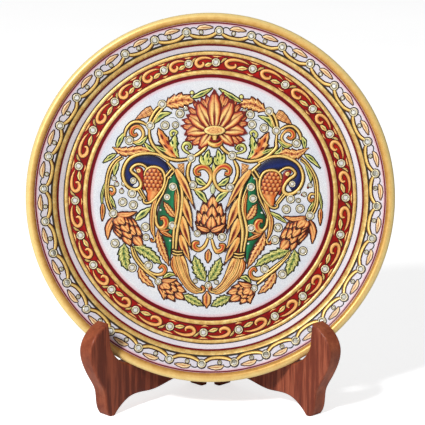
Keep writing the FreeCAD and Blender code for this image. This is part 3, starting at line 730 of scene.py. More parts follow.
def draw_tail(s):
    """Overlapping tail feathers, the gold quill, and the broom of strands below it."""
    s.ribbon([(-22, 10), (-19.2, 2), (-18.4, -8), (-18.5, -20), (-19.3, -32), (-19.6, -44)],
        [0.4, 2.6, 3.2, 3.7, 3.8, 3.4, 1.2], crown=0.3, paint=plain(ORANGE_DARK), outline=0.3)
    feathers = (((-20.2, -40.4), (-17.6, -47), (-13.2, -55.4), 2.5),
        ((-20.4, -27), (-17.6, -35.4), (-12.7, -45.8), 2.8),
        ((-20.2, -14), (-17.2, -24.6), (-12.7, -36.4), 3),
        ((-20.2, -0.5), (-16.5, -11), (-12.2, -23.4), 3.1),
        ((-25.4, 18.6), (-18.8, 7.4), (-11.4, -8.2), 2.9))
    for i, (foot, middle, tip, width) in enumerate(feathers):
        s.ribbon([foot, middle, tip], [0.5, 0.9, 1, 0.9, 0.62, 0.24, 0.03], size=width, crown=0.8,
            lift=0.25 + 0.24 * i, shape=plump, paint=FEATHER, gilt=0.1, outline=0.36,
            outline_rise=0.25, across=15, step=0.4)
    s.cord([(-22.6, 10), (-20.8, 4), (-20.2, -3), (-20.6, -9), (-21.4, -16), (-22.6, -23),
        (-23.2, -29.5), (-23.4, -36.8)], 1.15, lift=1)
    s.ribbon([(-25, 8), (-22.9, 0), (-22.9, -8), (-24, -16), (-25.2, -24), (-25.4, -36.4)],
        [0.3, 0.8, 0.9, 0.9, 0.9, 0.7], crown=0.8, lift=0.6, paint=cord_paint, gilt=0.6,
        outline=0.4, ink=GREEN_INK)
    for y in (-37.6, -39.6):
        s.cord([(-25.6, y), (-22.4, y - 0.9), (-18.8, y - 0.4)], 0.65, lift=1.2)
    strands = ((-2.9, 1.15, 0, FEATHER), (2.9, 1.1, 0, FEATHER), (-0.9, 1.1, 0.3, strand_paint),
        (1.2, 0.75, 0.6, strand_paint), (0.2, 0.4, 0.8, cord_paint))
    for shift, width, lift, paint in strands:
        s.ribbon([(-22.2 + shift * 0.8, -40.6), (-20.6 + shift, -46.5), (-18.1 + shift, -53.3),
            (-15 + shift * 0.8, -58.9 + shift * 0.1), (-11.5 + shift * 0.5, -62.8 + shift * 0.5),
            (-7.8 + shift * 0.1, -64.9 + shift * 0.5), (-4.8, -64.3 + shift * 0.25)],
            [0.8, 1, 1.2, 1, 0.7, 0.4], size=width, crown=0.9, lift=lift, paint=paint, gilt=0.3,
            outline=0.4)
    s.leaf([(-24.2, -41), (-25.2, -47), (-22.2, -55.5)], 1.4, FLAME, 0.2)
    s.leaf([(-19, -41), (-18, -48), (-14.6, -57.5)], 1.3, FLAME, 0.3)
    s.curl([(-7.2, -65.6), (-4, -65.4), (-2.8, -63.2), (-4.6, -61.8)], 0.75, 1.2)


def draw_side_bud(s):
    """Lotus bud on the outer side, its stem and leaves, and the small bud at the bottom."""
    s.petal((-67.6, -17), (-70.8, -31.6), 2.3, 0, -0.1)
    s.scales((-67, -14), ((-61.9, -31.2), (-54.2, -36.2), (-45.8, -36.6), (-46.6, -28.8),
        (-49.4, -22.8), (-53, -17.8)), 3.5, 10, (1, 0.79, 0.58, 0.4))
    s.petal((-64.8, -14.2), (-51.8, -12.2), 2, 1, -0.08)
    s.leaf([(-52.4, -17.8), (-47.4, -13.2), (-41.4, -8.4)], 2.6)
    s.toothed([(-59.2, -34.4), (-59.2, -42), (-56.4, -52.6)], 4.7, 5)
    s.toothed([(-53, -36), (-44, -39.4), (-32.6, -47.6)], 4.3, 6)
    s.toothed([(-48.3, -50), (-45.2, -57), (-37.4, -63.6)], 3, 5, True)
    s.cord([(-54.2, -36.4), (-52.4, -42), (-48.7, -47.5), (-43.4, -52.6), (-38.6, -56),
        (-36.2, -57.6)], 0.95, lift=0.3)
    s.cord([(-52.6, -37), (-50.4, -42.2), (-46.4, -47.6), (-41.8, -51.8)], 0.6, lift=0.2)
    s.curl([(-43.6, -51.4), (-39.5, -54), (-35.3, -55), (-31.4, -53.8), (-30.2, -50.8),
        (-32.3, -48.6), (-34.4, -50.4)], 0.85, 1.35)
    s.leaf([(-31.4, -57), (-27, -54.4), (-22.8, -54.6)], 1.5)
    s.petal((-34.3, -62), (-30.2, -71.8), 1.9, 0, 0.08)
    s.scales((-33.4, -59.4), ((-28.4, -71.4), (-22.6, -73), (-15.8, -71.6), (-15.2, -66.2),
        (-18.4, -61.6)), 2.8, 8, (1, 0.72, 0.46), clear=2.4)
    s.petal((-32, -59), (-22.2, -57.6), 1.7, 0.9, -0.06)
    s.toothed([(-16.8, -68.3), (-11, -71.2), (-2.8, -75.2)], 3.4, 5)


def draw_heart(s):
    """Cords, spiral and leaves between the lotus and the central bud."""
    s.cord([(-15.4, 24.2), (-16.8, 20.5), (-17.2, 15.5), (-16, 11.2), (-14.8, 9.8)], 1.15)
    s.curl([(-12.2, 5.2), (-7, 5.6), (-3, 8.4), (-1, 13), (-1.7, 17.5), (-4.8, 20.6), (-8.6, 20.7),
        (-11.5, 18.6), (-11, 15.8), (-8.4, 15.9)], 1.05, 1.6)
    s.ribbon([(-5, 21.6), (-4.9, 26), (-3.2, 32.8)], [0.8, 2.8, 2.4, 1.6, 0.1],
        [0.8, 3, 2.8, 1.6, 0.1], crown=0.8, shape=creased, paint=PALE_LEAF, outline=LINE,
        across=13)
    s.petal((-5.6, 22.6), (-8.4, 29), 1.9, 0, 0.1, PALE_LEAF)
    s.petal((-4.2, 22.6), (-1.2, 28.2), 1.8, 0, -0.1, PALE_LEAF)
    s.spots((((-6.9, 27.6), (-6.5, 24.8), 0.65), ((-2.9, 26.6), (-3.2, 23.8), 0.65),
        ((-3.8, 30.4), (-4.3, 27.4), 0.6)), LEAF_CORE, 0.8)
    s.leaf([(-11.6, 13.4), (-8.2, 10.4), (-3.8, 8.4)], 2)
    s.leaf([(-12, 4.8), (-7.4, 1.6), (-2.8, -4.4)], 2.3)
    s.curl([(-1.4, -28.6), (-3.4, -33.6), (-7, -36.4), (-10.4, -35.2), (-10.4, -32.2),
        (-7.6, -31.8)], 1.05, 1.5)
    s.tendril([(-7.6, -37.2), (-9.6, -40), (-10.2, -42.4)])
    s.toothed([(-2.2, -58), (-6.9, -50.4), (-10.4, -41)], 4.8, 6)


def draw_axis(s):
    """What stands on the medallion's mirror line."""
    s.bead((0.4, -14.6), 7.6, 0.4, plain(MAROON), squash=1.2, rings=3, segments=32)
    s.scales((0.3, -26.6), ((-10.6, -17.2), (-9.6, -9.6), (-5.6, -3.2), (1, 2.2), (6.6, -4),
        (10.2, -10.6), (11.2, -18.4)), 4, 10.5, (1, 0.76, 0.52), fewer=2)
    s.petal((-0.9, -23.2), (-9.6, -20.2), 1.8, 1.5, 0.04)
    s.petal((0.9, -23.2), (9.9, -18.2), 2, 1.5, -0.08)
    s.ribbon([(0.4, 24.4), (0.6, 20.6), (0.4, 16.8)], [0.1, 1.2, 0.1], crown=0.6, paint=PALE_LEAF,
        outline=0.4)
    s.ribbon([(0.6, 9.6), (0.7, 6.4), (0.7, 2.8)], [0.1, 1.3, 1.6, 0.8], crown=0.8,
        paint=plain(srgb(198, 202, 158)), outline=0.4, ink=GREEN_INK)
    s.ribbon([(-0.7, -36.2), (-0.8, -40), (-0.8, -45.2)], [0.3, 2.1, 2, 0.2], crown=0.9,
        paint=FLAME, outline=LINE)
    s.ribbon([(-0.7, -65.4), (-0.6, -69.4), (-0.5, -76.6)], [0.4, 2.8, 2.6, 0.1], crown=1,
        paint=FLAME, outline=LINE)


# ---- lotus: drawn about its own seed disc
def draw_lotus(s):
    """Short petals behind, nine large ones, the cup and the seed disc."""
    s.bead((0.2, 4.6), 14, 0.3, plain(MAROON), squash=0.98, rings=2, segments=40)
    teeth = ((-5.8, 24.8), (6.2, 26.4), (-15, 20.4), (-18.4, 16.4), (15.4, 22.2), (18.8, 18.4),
        (-22.4, 7.4), (-23.2, 3.2), (23.2, 10.4), (23.8, 5.2), (-20.2, -6.6), (-16.2, -9.6),
        (20.8, -7), (17.8, -9.4), (-9.4, 22.8), (9.8, 24.2))
    for i, tip in enumerate(teeth):
        tip = np.array(tip)
        middle = tip * 0.66 + np.array([-tip[1], tip[0]]) * (0.02 if i % 2 else -0.02)
        s.ribbon([tip * 0.3, middle, tip], [0.8, 2.8, 3.4, 2.9, 1.7, 0.06], crown=0.7,
            lift=0.22 * (i % 2), shape=plump, paint=tip_paint, outline=0.42, outline_rise=0.3,
            step=0.4, across=13)
    petals = (((-10.9, -12.4), 3.4, 0.5), ((13.2, -10.6), 3.4, 0.5), ((-20.8, -2.8), 3.9, 0.8),
        ((22.2, -1.8), 4, 0.8), ((-19.4, 10.6), 4.1, 1.1), ((21.4, 12.8), 4.2, 1.1),
        ((-11.6, 20.6), 4.3, 1.4), ((12.2, 21.4), 4.4, 1.4), ((-0.3, 28), 4.6, 1.7))
    for tip, width, lift in petals:
        foot = (tip[0] * 0.22, tip[1] * 0.07)
        bend = -0.06 if tip[0] > 3 else 0.06 if tip[0] < -3 else 0
        middle = (foot[0] * 0.4 + tip[0] * 0.6 - bend * (tip[1] - foot[1]),
                  foot[1] * 0.4 + tip[1] * 0.6 + abs(bend) * abs(tip[0]))
        s.ribbon([foot, middle, tip], [0.42, 0.76, 1, 0.98, 0.6, 0.05], size=width, crown=0.8,
            lift=lift, shape=plump, paint=lotus_paint, outline=0.42, outline_rise=0.4, step=0.35,
            across=19)
    s.ribbon([(-5.2, -7), (-2.8, -9.4), (0.4, -10.2), (3.4, -9.4), (5.6, -6.8)],
        [0.6, 1.4, 1.6, 1.4, 0.6], crown=0.9, lift=1, paint=hook_paint, gilt=0.4, outline=0.45)
    s.ribbon([(-4, -5.6), (0.2, -7.4), (4.2, -5.4)], [0.3, 1, 1.2, 1, 0.3], crown=0.7, lift=0.8,
        paint=plain(DEEP_RED), outline=0.3)
    s.ribbon([(0, -2), (0, -6.6)], [2.4, 1.5], crown=0.9, lift=1.1, paint=cord_paint, gilt=0.6,
        outline=0.4)
    s.bead((0, 0), 7.2, 1, seed_paint, lift=2.4, outline=0.5, squash=0.44, rings=12, segments=48)


# ---- red band and border
def band_cell(s, start, end, radius):
    """Gilt comma, leaf and edge triangles between two stones of the red band."""
    def at(share, out):
        return polar(radius + out, start + (end - start) * share)

    s.ribbon([at(0.52, 0.3), at(0.53, -1.4), at(0.44, -2.6), at(0.33, -2.2), at(0.27, -0.3),
              at(0.31, 1.6), at(0.42, 2.8), at(0.57, 3.2), at(0.73, 2.9), at(0.87, 2)],
             [0.7, 1.25, 1.5, 1.5, 1.35, 1.3, 1.15, 0.95, 0.7, 0.15], crown=0.8,
             paint=comma_paint, gilt=0.3, outline=0.3, across=15)
    s.leaf([at(0.58, -2.5), at(0.73, -1.6), at(0.87, -0.9)], 1.45, COMMA_LEAF)
    s.leaf([at(0.28, 3.5), at(0.19, 2), at(0.13, -0.2)], 0.7, COMMA_LEAF)
    for share, out in ((0.03, 4.3), (-0.03, -4.2), (0.97, 4.4)):
        s.ribbon([at(share - 0.1, out + 0.1), at(share, out - 0.35), at(share + 0.1, out + 0.1)],
                 [0.1, 0.45, 0.1], crown=0.4, paint=plain(ORANGE_LIGHT), gilt=0.5)


def border_cell(s, start, end, radius):
    """Garland, leaf and tendril between two border stones."""
    def at(share, out):
        return polar(radius + out, start + (end - start) * share)

    s.ribbon([at(0.1, -1.9), at(0.2, -3.1), at(0.36, -4.05), at(0.56, -4.3), at(0.74, -3.7),
              at(0.9, -1.8)], [1, 1.1, 1.15, 1.15, 1.1, 1], crown=0.9, paint=cord_paint,
             gilt=0.9, outline=LINE)
    s.ribbon([at(0.34, 1.4), at(0.44, 2.2), at(0.6, 2.3), at(0.8, 2.2)],
             [0.4, 1.15, 1.4, 0.9, 0.1], crown=0.6, shape=creased, paint=VINE_LEAF, outline=LINE)
    s.ribbon([at(0.12, 1.6), at(0.18, 2.5), at(0.27, 2.3), at(0.36, 1)],
             [0.34, 0.38, 0.36, 0.3], crown=0.25, paint=plain(GREEN_INK), across=5)


def ring_of_cells(name, draw, stones):
    """One cell from each stone to the next, all the way round."""
    found = settings(stones)
    radius = np.mean([math.hypot(x, y) for x, y, _ in found])
    angles = sorted(clock(x, y) for x, y, _ in found)
    s = Sheet(name)
    for start, end in zip(angles, angles[1:] + [angles[0] + 360]):
        draw(s, start, end, radius)
    s.build()


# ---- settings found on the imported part
SAME_POINT = 2e-6            # m, vertices closer than this are one point


def settings(node):
    """Plate x, y and radius of each separate solid of a group node."""
    points = node_points(node)
    keys, index = {}, []
    for point in np.round(points / SAME_POINT).astype(np.int64).tolist():
        index.append(keys.setdefault(tuple(point), len(keys)))
    parent = list(range(len(keys)))

    def root(i):
        while parent[i] != i:
            parent[i] = parent[parent[i]]
            i = parent[i]
        return i

    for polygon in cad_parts[node].data.polygons:
        first = root(index[polygon.vertices[0]])
        for vertex in polygon.vertices[1:]:
            parent[root(index[vertex])] = first
    groups = {}
    for vertex, key in enumerate(index):
        groups.setdefault(root(key), []).append(vertex)
    found = []
    for members in groups.values():
        x, y, _ = to_plate(points[members])
        cx, cy = (x.min() + x.max()) / 2, (y.min() + y.max()) / 2
        found.append((cx, cy, float(np.hypot(x - cx, y - cy).max())))
    return found


def draw_contours(s, collars, margin, ink):
    """Dark painted line round each setting."""
    for x, y, radius in settings(collars):
        ring = radius + margin / 2
        path = [(x + ring * math.cos(a), y + ring * math.sin(a))
                for a in np.linspace(0, 2 * math.pi, 33)]
        s.ribbon(path, margin / 2, crown=0.12, shape=flat, paint=plain(ink), across=3)


# ---- material nodes
class Nodes:
    """Short way to write a material's node tree."""

    def __init__(self, name):
        self.material = bpy.data.materials.new(name)
        self.material.use_nodes = True
        self.tree = self.material.node_tree
        self.shader = self.tree.nodes["Principled BSDF"]
        self.coordinates = self.add("ShaderNodeTexCoord").outputs["Object"]

    def add(self, kind, **values):
        node = self.tree.nodes.new(kind)
        for name, value in values.items():
            setattr(node, name, value)
        return node

    def put(self, socket, value):
        if isinstance(value, bpy.types.NodeSocket):
            self.tree.links.new(value, socket)
        elif isinstance(value, np.ndarray) and len(socket.default_value) == 4:
            socket.default_value = (*value.tolist(), 1.0)
        else:
            socket.default_value = value

    def set(self, **values):
        for name, value in values.items():
            self.put(self.shader.inputs[name.replace("_", " ")], value)

    def noise(self, scale, detail=4.0, rough=0.55, vector=None):
        node = self.add("ShaderNodeTexNoise")
        for name, value in (("Vector", vector or self.coordinates), ("Scale", scale),
                            ("Detail", detail), ("Roughness", rough)):
            self.put(node.inputs[name], value)
        return node.outputs["Fac"]

    def stretch(self, scale):
        node = self.add("ShaderNodeMapping")
        self.put(node.inputs["Vector"], self.coordinates)
        self.put(node.inputs["Scale"], scale)
        return node.outputs["Vector"]

    def math(self, operation, a, b=0.0, clamp=False):
        node = self.add("ShaderNodeMath", operation=operation, use_clamp=clamp)
        self.put(node.inputs[0], a)
        self.put(node.inputs[1], b)
        return node.outputs[0]

    def scaled(self, value, factor, start):
        return self.math("ADD", self.math("MULTIPLY", value, factor), start)

    def span(self, value, low, high):
        """0 at low, 1 at high."""
        return self.math("DIVIDE", self.math("SUBTRACT", value, low), high - low)

    def blend(self, factor, a, b, mode="MIX"):
        node = self.add("ShaderNodeMix", data_type="RGBA", blend_type=mode)
        for i, value in ((0, factor), (6, a), (7, b)):
            self.put(node.inputs[i], value)
        return node.outputs[2]

    def ramp(self, factor, *stops):
        node = self.add("ShaderNodeValToRGB")
        elements = node.color_ramp.elements
        while len(elements) < len(stops):
            elements.new(0.5)
        for element, (place, colour) in zip(elements, stops):
            element.position = place
            element.color = (*np.broadcast_to(colour, 3).tolist(), 1.0)
        self.put(node.inputs[0], factor)
        return node.outputs["Color"]

    def bump(self, height, distance, strength):
        node = self.add("ShaderNodeBump")
        for name, value in (("Height", height), ("Distance", distance), ("Strength", strength)):
            self.put(node.inputs[name], value)
        self.put(self.shader.inputs["Normal"], node.outputs["Normal"])

    def dot(self, vector, direction):
        node = self.add("ShaderNodeVectorMath", operation="DOT_PRODUCT")
        self.put(node.inputs[0], vector)
        self.put(node.inputs[1], tuple(float(v) for v in direction))
        return node.outputs["Value"]

    def facing(self, direction):
        return self.dot(self.add("ShaderNodeNewGeometry").outputs["Normal"], direction)

    def plate_radius(self):
        """Distance from the plate's axis in millimetres."""
        node = self.add("ShaderNodeVectorMath", operation="SUBTRACT")
        self.put(node.inputs[0], self.coordinates)
        self.put(node.inputs[1], tuple(PLATE_CENTRE))
        x, y = (self.dot(node.outputs[0], axis / MM) for axis in (PLATE_X, PLATE_Y))
        squares = self.math("ADD", self.math("POWER", x, 2.0), self.math("POWER", y, 2.0))
        return self.math("SQRT", squares)

    def circled(self, colour, radius):
        """Painted circles over a colour: pink wash, dark red and dark olive lines, face only."""
        low, high = CONTOUR_SPAN
        stops = [((r - low) / (high - low), mask) for r, mask in CONTOURS]
        split = self.add("ShaderNodeSeparateColor")
        self.put(split.inputs[0], self.ramp(self.span(radius, low, high), *stops))
        front = self.math("GREATER_THAN", self.facing(PLATE_N), FACE_ONLY)
        for mask, ink in zip(split.outputs, CONTOUR_INKS):
            colour = self.blend(self.math("MULTIPLY", mask, front), colour, ink)
        return colour


# Painted circles by radius in millimetres. Each stop's three numbers are the strengths of the
# three inks there, and strengths between two stops run evenly.
CONTOUR_INKS = (srgb(222, 150, 158), srgb(108, 5, 20), srgb(42, 32, 10))
CONTOUR_SPAN = (75.0, 130.0)
FACE_ONLY = 0.25             # least cosine to the plate's normal that is painted
DARK_RED, OLIVE, BARE = (0, 1, 0), (0, 0, 1), (0, 0, 0)
CONTOURS = (
    (80.6, BARE), (82.7, (0.55, 0, 0)), (83.1, DARK_RED), (85.4, DARK_RED), (85.7, BARE),
    (88.2, BARE), (88.45, DARK_RED), (89.2, DARK_RED), (89.6, BARE), (97.7, BARE),
    (98.1, DARK_RED), (98.8, DARK_RED), (99.0, BARE), (101.0, BARE), (101.25, OLIVE),
    (101.8, OLIVE), (102.1, BARE), (104.8, BARE), (105.1, DARK_RED), (106.3, DARK_RED),
    (106.6, BARE), (108.7, BARE), (109.0, OLIVE), (110.2, OLIVE), (110.4, BARE),
    (118.3, BARE), (119.4, (0.5, 0, 0)), (119.7, DARK_RED), (120.5, DARK_RED), (120.7, BARE))
GLAZE_TINTED = (99.0, 123.0)    # mm, the radii over which the glaze's tint runs
GILDED_FROM = 120.75            # mm, where the rim's gilding starts
# over these radii the gilding's tone runs from painted shade on the bead's inner side to a painted
# highlight on its outer side
GILDING_SHADE_TO_HIGHLIGHT = (120.0, 128.0)        # mm, the radii over which its tone runs


def relief_material():
    """Painted and gilded relief: vertex colour under brush marks and a thin glaze."""
    n = Nodes("painted_relief")
    paint = n.add("ShaderNodeAttribute", attribute_name="Paint").outputs["Color"]
    gilt = n.add("ShaderNodeAttribute", attribute_name="Gilt").outputs["Fac"]
    brush = n.noise(900.0, 5.0, 0.65)
    wash = n.noise(180.0, 3.0)
    colour = n.blend(1.0, paint, n.ramp(brush, (0.3, 0.78), (0.7, 1.12)), "MULTIPLY")
    colour = n.blend(0.5, colour, n.ramp(wash, (0.35, 0.86), (0.65, 1.1)), "MULTIPLY")
    n.set(Base_Color=colour, Metallic=n.math("MULTIPLY", gilt, 0.35),
          Roughness=n.scaled(wash, 0.25, 0.32), Specular_IOR_Level=0.3, Coat_Weight=0.05,
          Coat_Roughness=0.25)
    n.bump(brush, 0.00012, 0.7)
    return n.material


def china_material():
    """Glazed china with the rim gilding and the painted lines between the raised rings; the
    back is plain. The gilding runs from painted shade inside to a painted highlight outside."""
    n = Nodes("glazed_china")
    true_radius = n.plate_radius()
    wavering = n.math("ADD", true_radius, n.math("MULTIPLY", n.noise(60.0, 2.0), 0.5))
    radius = n.math("SUBTRACT", wavering, 0.25)
    ground = n.ramp(n.span(true_radius, *GLAZE_TINTED), (0.0, srgb(228, 229, 231)),
                    (0.12, srgb(235, 226, 231)), (0.3, srgb(237, 229, 233)),
                    (0.5, srgb(226, 222, 226)), (0.78, srgb(230, 221, 227)),
                    (0.85, srgb(234, 214, 220)))
    speckle = n.noise(1500.0, 3.0, 0.7)
    cloud = n.noise(45.0, 4.0)
    for tint in (n.ramp(speckle, (0.3, srgb(226, 228, 232)), (0.62, srgb(255, 255, 255))),
                 n.ramp(cloud, (0.35, srgb(242, 244, 250)), (0.65, srgb(255, 254, 252)))):
        ground = n.blend(1.0, ground, tint, "MULTIPLY")
    front = n.ramp(n.facing(PLATE_N), (0.0, 0.0), (0.04, 1.0))
    colour = n.circled(n.blend(front, srgb(226, 224, 222), ground), radius)
    gilded = n.math("GREATER_THAN", radius, GILDED_FROM)
    wear = n.math("MULTIPLY", n.noise(220.0, 6.0, 0.68), 0.5)
    # painted shade to painted highlight across the bead, mottled by real wear
    wear_and_painted_highlight = n.math("SUBTRACT", n.math("ADD", n.span(true_radius, *GILDING_SHADE_TO_HIGHLIGHT), wear), 0.07)
    gold = n.ramp(wear_and_painted_highlight, (0.25, srgb(178, 120, 56)), (0.45, srgb(208, 159, 86)),
                  (0.7, srgb(233, 195, 120)), (0.95, srgb(247, 220, 148)))
    n.set(Base_Color=n.blend(gilded, colour, gold), Metallic=n.math("MULTIPLY", gilded, 0.2),
          Roughness=n.scaled(speckle, 0.1, 0.3), Specular_IOR_Level=0.16, Coat_Weight=0.03,
          Coat_Roughness=0.12)
    n.bump(n.math("ADD", cloud, n.math("MULTIPLY", speckle, 0.12)), 0.0003, 0.4)
    return n.material


def gilt_material():
    """Gilded raised rings: brushed tone, and the painted circles along their feet."""
    n = Nodes("gilded_relief")
    tone = n.ramp(n.noise(260.0, 6.0, 0.65), (0.28, srgb(190, 142, 70)),
                  (0.5, srgb(222, 182, 104)), (0.72, srgb(246, 224, 154)))
    n.set(Base_Color=n.circled(tone, n.plate_radius()), Metallic=0.3,
          Roughness=n.scaled(n.noise(500.0), 0.3, 0.28), Coat_Weight=0.12, Coat_Roughness=0.25)
    n.bump(n.noise(800.0, 5.0), 0.00012, 0.6)
    return n.material


def collar_material():
    """Pale silvered gilding round the stones, with painted shade on its steep walls and seams."""
    n = Nodes("pale_collar")
    tone = n.ramp(n.noise(600.0, 5.0, 0.65), (0.3, srgb(180, 164, 116)), (0.6, srgb(240, 230, 194)))
    # painted shade: the collar's steep walls are painted dark
    steep_wall_shade = n.ramp(n.facing(PLATE_N), (0.2, 1.0), (0.5, 0.0))
    n.set(Base_Color=n.blend(steep_wall_shade, tone, srgb(96, 80, 44)), Metallic=0.15, Roughness=0.34,
          Coat_Weight=0.1)
    n.bump(n.noise(900.0), 0.0001, 0.5)
    return n.material


def enamel_material():
    n = Nodes("red_enamel")
    tone = n.ramp(n.noise(150.0, 5.0, 0.6), (0.3, srgb(106, 5, 3)), (0.55, srgb(154, 12, 5)),
                  (0.8, srgb(190, 30, 12)))
    n.set(Base_Color=n.circled(tone, n.plate_radius()), Roughness=0.3, Specular_IOR_Level=0.3,
          Coat_Weight=0.1, Coat_Roughness=0.15)
    n.bump(n.noise(700.0), 0.0001, 0.6)
    return n.material


def stone_material():
    """Foil-backed glass with painted reflections: a pale top facet, crown facets painted lighter
    and darker by their direction as foil flashes, and painted shade on the steep facets.
    """
    n = Nodes("foiled_glass")
    facet = n.add("ShaderNodeNewGeometry").outputs["True Normal"]
    # painted reflections: each facet's brightness follows its direction, as foil flashes
    tint = n.ramp(n.noise(3.1, 2.0, vector=facet), (0.34, srgb(112, 108, 92)),
                  (0.45, srgb(206, 206, 194)), (0.54, srgb(248, 248, 244)))
    # painted highlight: the top facet is painted near white
    table_highlight = n.ramp(n.dot(facet, PLATE_N), (0.9, 0.0), (0.97, 1.0))
    tint = n.blend(table_highlight, tint, srgb(246, 246, 244))
    # painted shade on the steep facets
    girdle_shade = n.ramp(n.dot(facet, PLATE_N), (0.4, 0.9), (0.65, 0.15), (0.93, 0.0))
    n.set(Base_Color=n.blend(girdle_shade, tint, srgb(96, 90, 70)), Metallic=0.3, Roughness=0.12,
          Coat_Weight=0.8, Coat_Roughness=0.03)
    return n.material


def wood_material(name, outward, dark, light):
    """Stained board: grain along the height, paler and blotched where its edge shows; that
    edge tone is partly the wood's own and partly a painted highlight.
    """
    n = Nodes(name)
    grain = n.noise(60.0, 6.0, 0.62, n.stretch((5.0, 5.0, 0.3)))
    pores = n.noise(240.0, 4.0, 0.7, n.stretch((7.0, 7.0, 0.25)))
    tone = n.ramp(grain, (0.3, dark * 0.8), (0.46, dark), (0.6, light), (0.8, light * 1.2))
    tone = n.blend(0.6, tone, n.ramp(pores, (0.35, 0.6), (0.55, 1.05)), "MULTIPLY")
    edge = n.math("SUBTRACT", 1.0, n.math("ABSOLUTE", n.facing(outward)), clamp=True)
    # edge faces: partly the edge's own paler tone and partly a painted highlight on the rounded
    # edges
    edge_tone_and_highlight = n.ramp(n.noise(90.0, 4.0, 0.7), (0.35, srgb(132, 60, 36)), (0.65, srgb(186, 104, 68)))
    n.set(Base_Color=n.blend(n.math("MULTIPLY", edge, 0.55), tone, edge_tone_and_highlight),
          Roughness=n.scaled(pores, 0.2, 0.42), Specular_IOR_Level=0.22, Coat_Weight=0.1,
          Coat_Roughness=0.2)
    n.bump(pores, 0.0002, 0.5)
    return n.material


def brass_material():
    n = Nodes("hinge_brass")
    tone = n.ramp(n.noise(300.0, 6.0, 0.7), (0.3, srgb(132, 98, 44)), (0.6, srgb(198, 160, 84)))
    fine, finer = (n.noise(scale, 3.0, vector=n.stretch((8, 8, 0.5))) for scale in (900.0, 1200.0))
    n.set(Base_Color=tone, Metallic=0.95, Roughness=n.scaled(fine, 0.3, 0.18))
    n.bump(finer, 0.00006, 0.6)
    return n.material


# ---- build the painted relief
relief = relief_material()
HALVES = (("upper_scrolls", draw_upper_scrolls), ("side_scrolls", draw_side_scrolls),
          ("peacock", draw_peacock), ("lotus_buds", draw_side_bud), ("heart_scroll", draw_heart))
WHOLE = [(word + "_" + name, draw, medallion(side), side > 0)
         for side, word in ((-1, "left"), (1, "right")) for name, draw in HALVES]
WHOLE += [("axis_bud", draw_axis, medallion(-1), False),
          ("lotus_flower", draw_lotus, round_lotus, False)]
for name, draw, place, mirrored in WHOLE:
    sheet = Sheet(name, place, mirrored)
    draw(sheet)
    sheet.build()

ring_of_cells("red_band_commas", band_cell, "red_band_stones")
ring_of_cells("border_garlands", border_cell, "border_stones")

sheet = Sheet("setting_contours")
for collars, margin, ink in (("border_collars", 0.6, CORD_INK),
                             ("border_accent_collars", 0.5, CORD_INK),
                             ("medallion_collars", 0.5, CORD_INK),
                             ("red_band_collars", 0.5, COLLAR_RED)):
    draw_contours(sheet, collars, margin, ink)
sheet.build()

# ---- finishes of the CAD parts
finishes = {"plate_body": china_material(), "red_enamel_band": enamel_material()}
by_ending = (("_ring", gilt_material()), ("_collars", collar_material()),
             ("_stones", stone_material()))
brass = brass_material()
# painted light and shade: the right board's wood tones are lighter than the left board's, though
# both boards are the same wood
for side, word, dark, light in ((-1, "left", srgb(108, 46, 28), srgb(150, 74, 48)),
                                (1, "right", srgb(118, 52, 34), srgb(160, 84, 58))):
    low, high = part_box(word + "_stand_board")
    run = Vector((high.x - low.x, high.y - low.y, 0.0)).normalized()
    finishes[word + "_stand_board"] = wood_material(word + "_board_wood_painted_light_and_shade",
                                                    (side * run.y, run.x, 0.0), dark, light)
for name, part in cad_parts.items():
    ending = [material for end, material in by_ending if name.endswith(end)]
    part.data.materials.clear()
    part.data.materials.append(finishes.get(name, ending[0] if ending else brass))


# ---- floor, light and camera
FLOOR_GLOW = 0.7             # lifts the floor to white for the camera only
FLOOR_REACH = 4.0            # metres from the middle to each side
WORLD_STRENGTH = 0.21
WORLD_SEEN = 0.93            # the backdrop is paler to the camera than as a light
KEY_SLANT = math.radians(36)    # off the plate's normal, from the upper left
KEY_DISTANCE = 2.0           # metres
KEY_SIZE = 0.3
KEY_POWER = 36.5
RIM_TO_CAMERA = 1.3          # metres from the rim's centre to the lens
RIM_RISE = 11.3              # mm, rim bead over the well's floor
SENSOR = 36.0
LENS = 160.2
SHIFT = (0.0049, -0.0355)    # puts the plate a little left of and above the frame's middle
CLIP = (0.01, 20.0)          # metres


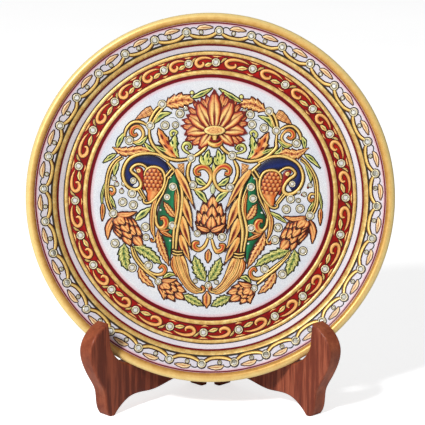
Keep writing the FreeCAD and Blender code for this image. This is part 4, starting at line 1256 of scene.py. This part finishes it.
def studio_floor():
    r = FLOOR_REACH
    mesh = bpy.data.meshes.new("floor")
    mesh.from_pydata([(-r, -r, 0), (r, -r, 0), (r, r, 0), (-r, r, 0)], [], [(0, 1, 2, 3)])
    floor = bpy.data.objects.new("floor", mesh)
    bpy.context.scene.collection.objects.link(floor)
    n = Nodes("pale_floor")
    seen = n.add("ShaderNodeLightPath").outputs["Is Camera Ray"]
    tone = n.ramp(n.noise(3.0), (0.4, srgb(246, 246, 247)), (0.6, srgb(250, 250, 250)))
    n.set(Base_Color=tone, Roughness=0.8, Emission_Color=srgb(255, 255, 255),
          Emission_Strength=n.math("MULTIPLY", seen, FLOOR_GLOW))
    mesh.materials.append(n.material)


def place_looking(name, data, place, direction):
    holder = bpy.data.objects.new(name, data)
    holder.location = place
    holder.rotation_euler = Vector(direction).to_track_quat("-Z", "Y").to_euler()
    bpy.context.scene.collection.objects.link(holder)
    return holder


def studio():
    """Even pale surroundings and one disc lamp over the viewer's left shoulder."""
    world = bpy.data.worlds.new("studio")
    world.use_nodes = True
    nodes, links = world.node_tree.nodes, world.node_tree.links
    background = nodes["Background"]
    background.inputs["Color"].default_value = (1.0, 1.0, 1.0, 1.0)
    strength = nodes.new("ShaderNodeMath")
    strength.operation = "MULTIPLY_ADD"
    strength.inputs[1].default_value = WORLD_SEEN - WORLD_STRENGTH
    strength.inputs[2].default_value = WORLD_STRENGTH
    links.new(nodes.new("ShaderNodeLightPath").outputs["Is Camera Ray"], strength.inputs[0])
    links.new(strength.outputs[0], background.inputs["Strength"])
    bpy.context.scene.world = world
    bpy.context.scene.view_settings.view_transform = "Standard"
    side = (-PLATE_X + PLATE_Y) / math.sqrt(2)
    key = PLATE_CENTRE + KEY_DISTANCE * (PLATE_N * math.cos(KEY_SLANT) + side * math.sin(KEY_SLANT))
    light = bpy.data.lights.new("key", "AREA")
    light.shape = "DISK"
    light.size = KEY_SIZE
    light.energy = KEY_POWER
    place_looking("key", light, key, Vector(PLATE_CENTRE) - Vector(key))


def camera():
    """Straight in front of the leaning plate, as in the photo."""
    data = bpy.data.cameras.new("camera")
    data.lens = LENS
    data.sensor_width = SENSOR
    data.shift_x, data.shift_y = SHIFT
    data.clip_start, data.clip_end = CLIP
    rim_centre = Vector(PLATE_CENTRE + PLATE_N * RIM_RISE * MM)
    place = rim_centre + Vector(PLATE_N) * RIM_TO_CAMERA
    bpy.context.scene.camera = place_looking("camera", data, place, -Vector(PLATE_N))


studio_floor()
studio()
camera()
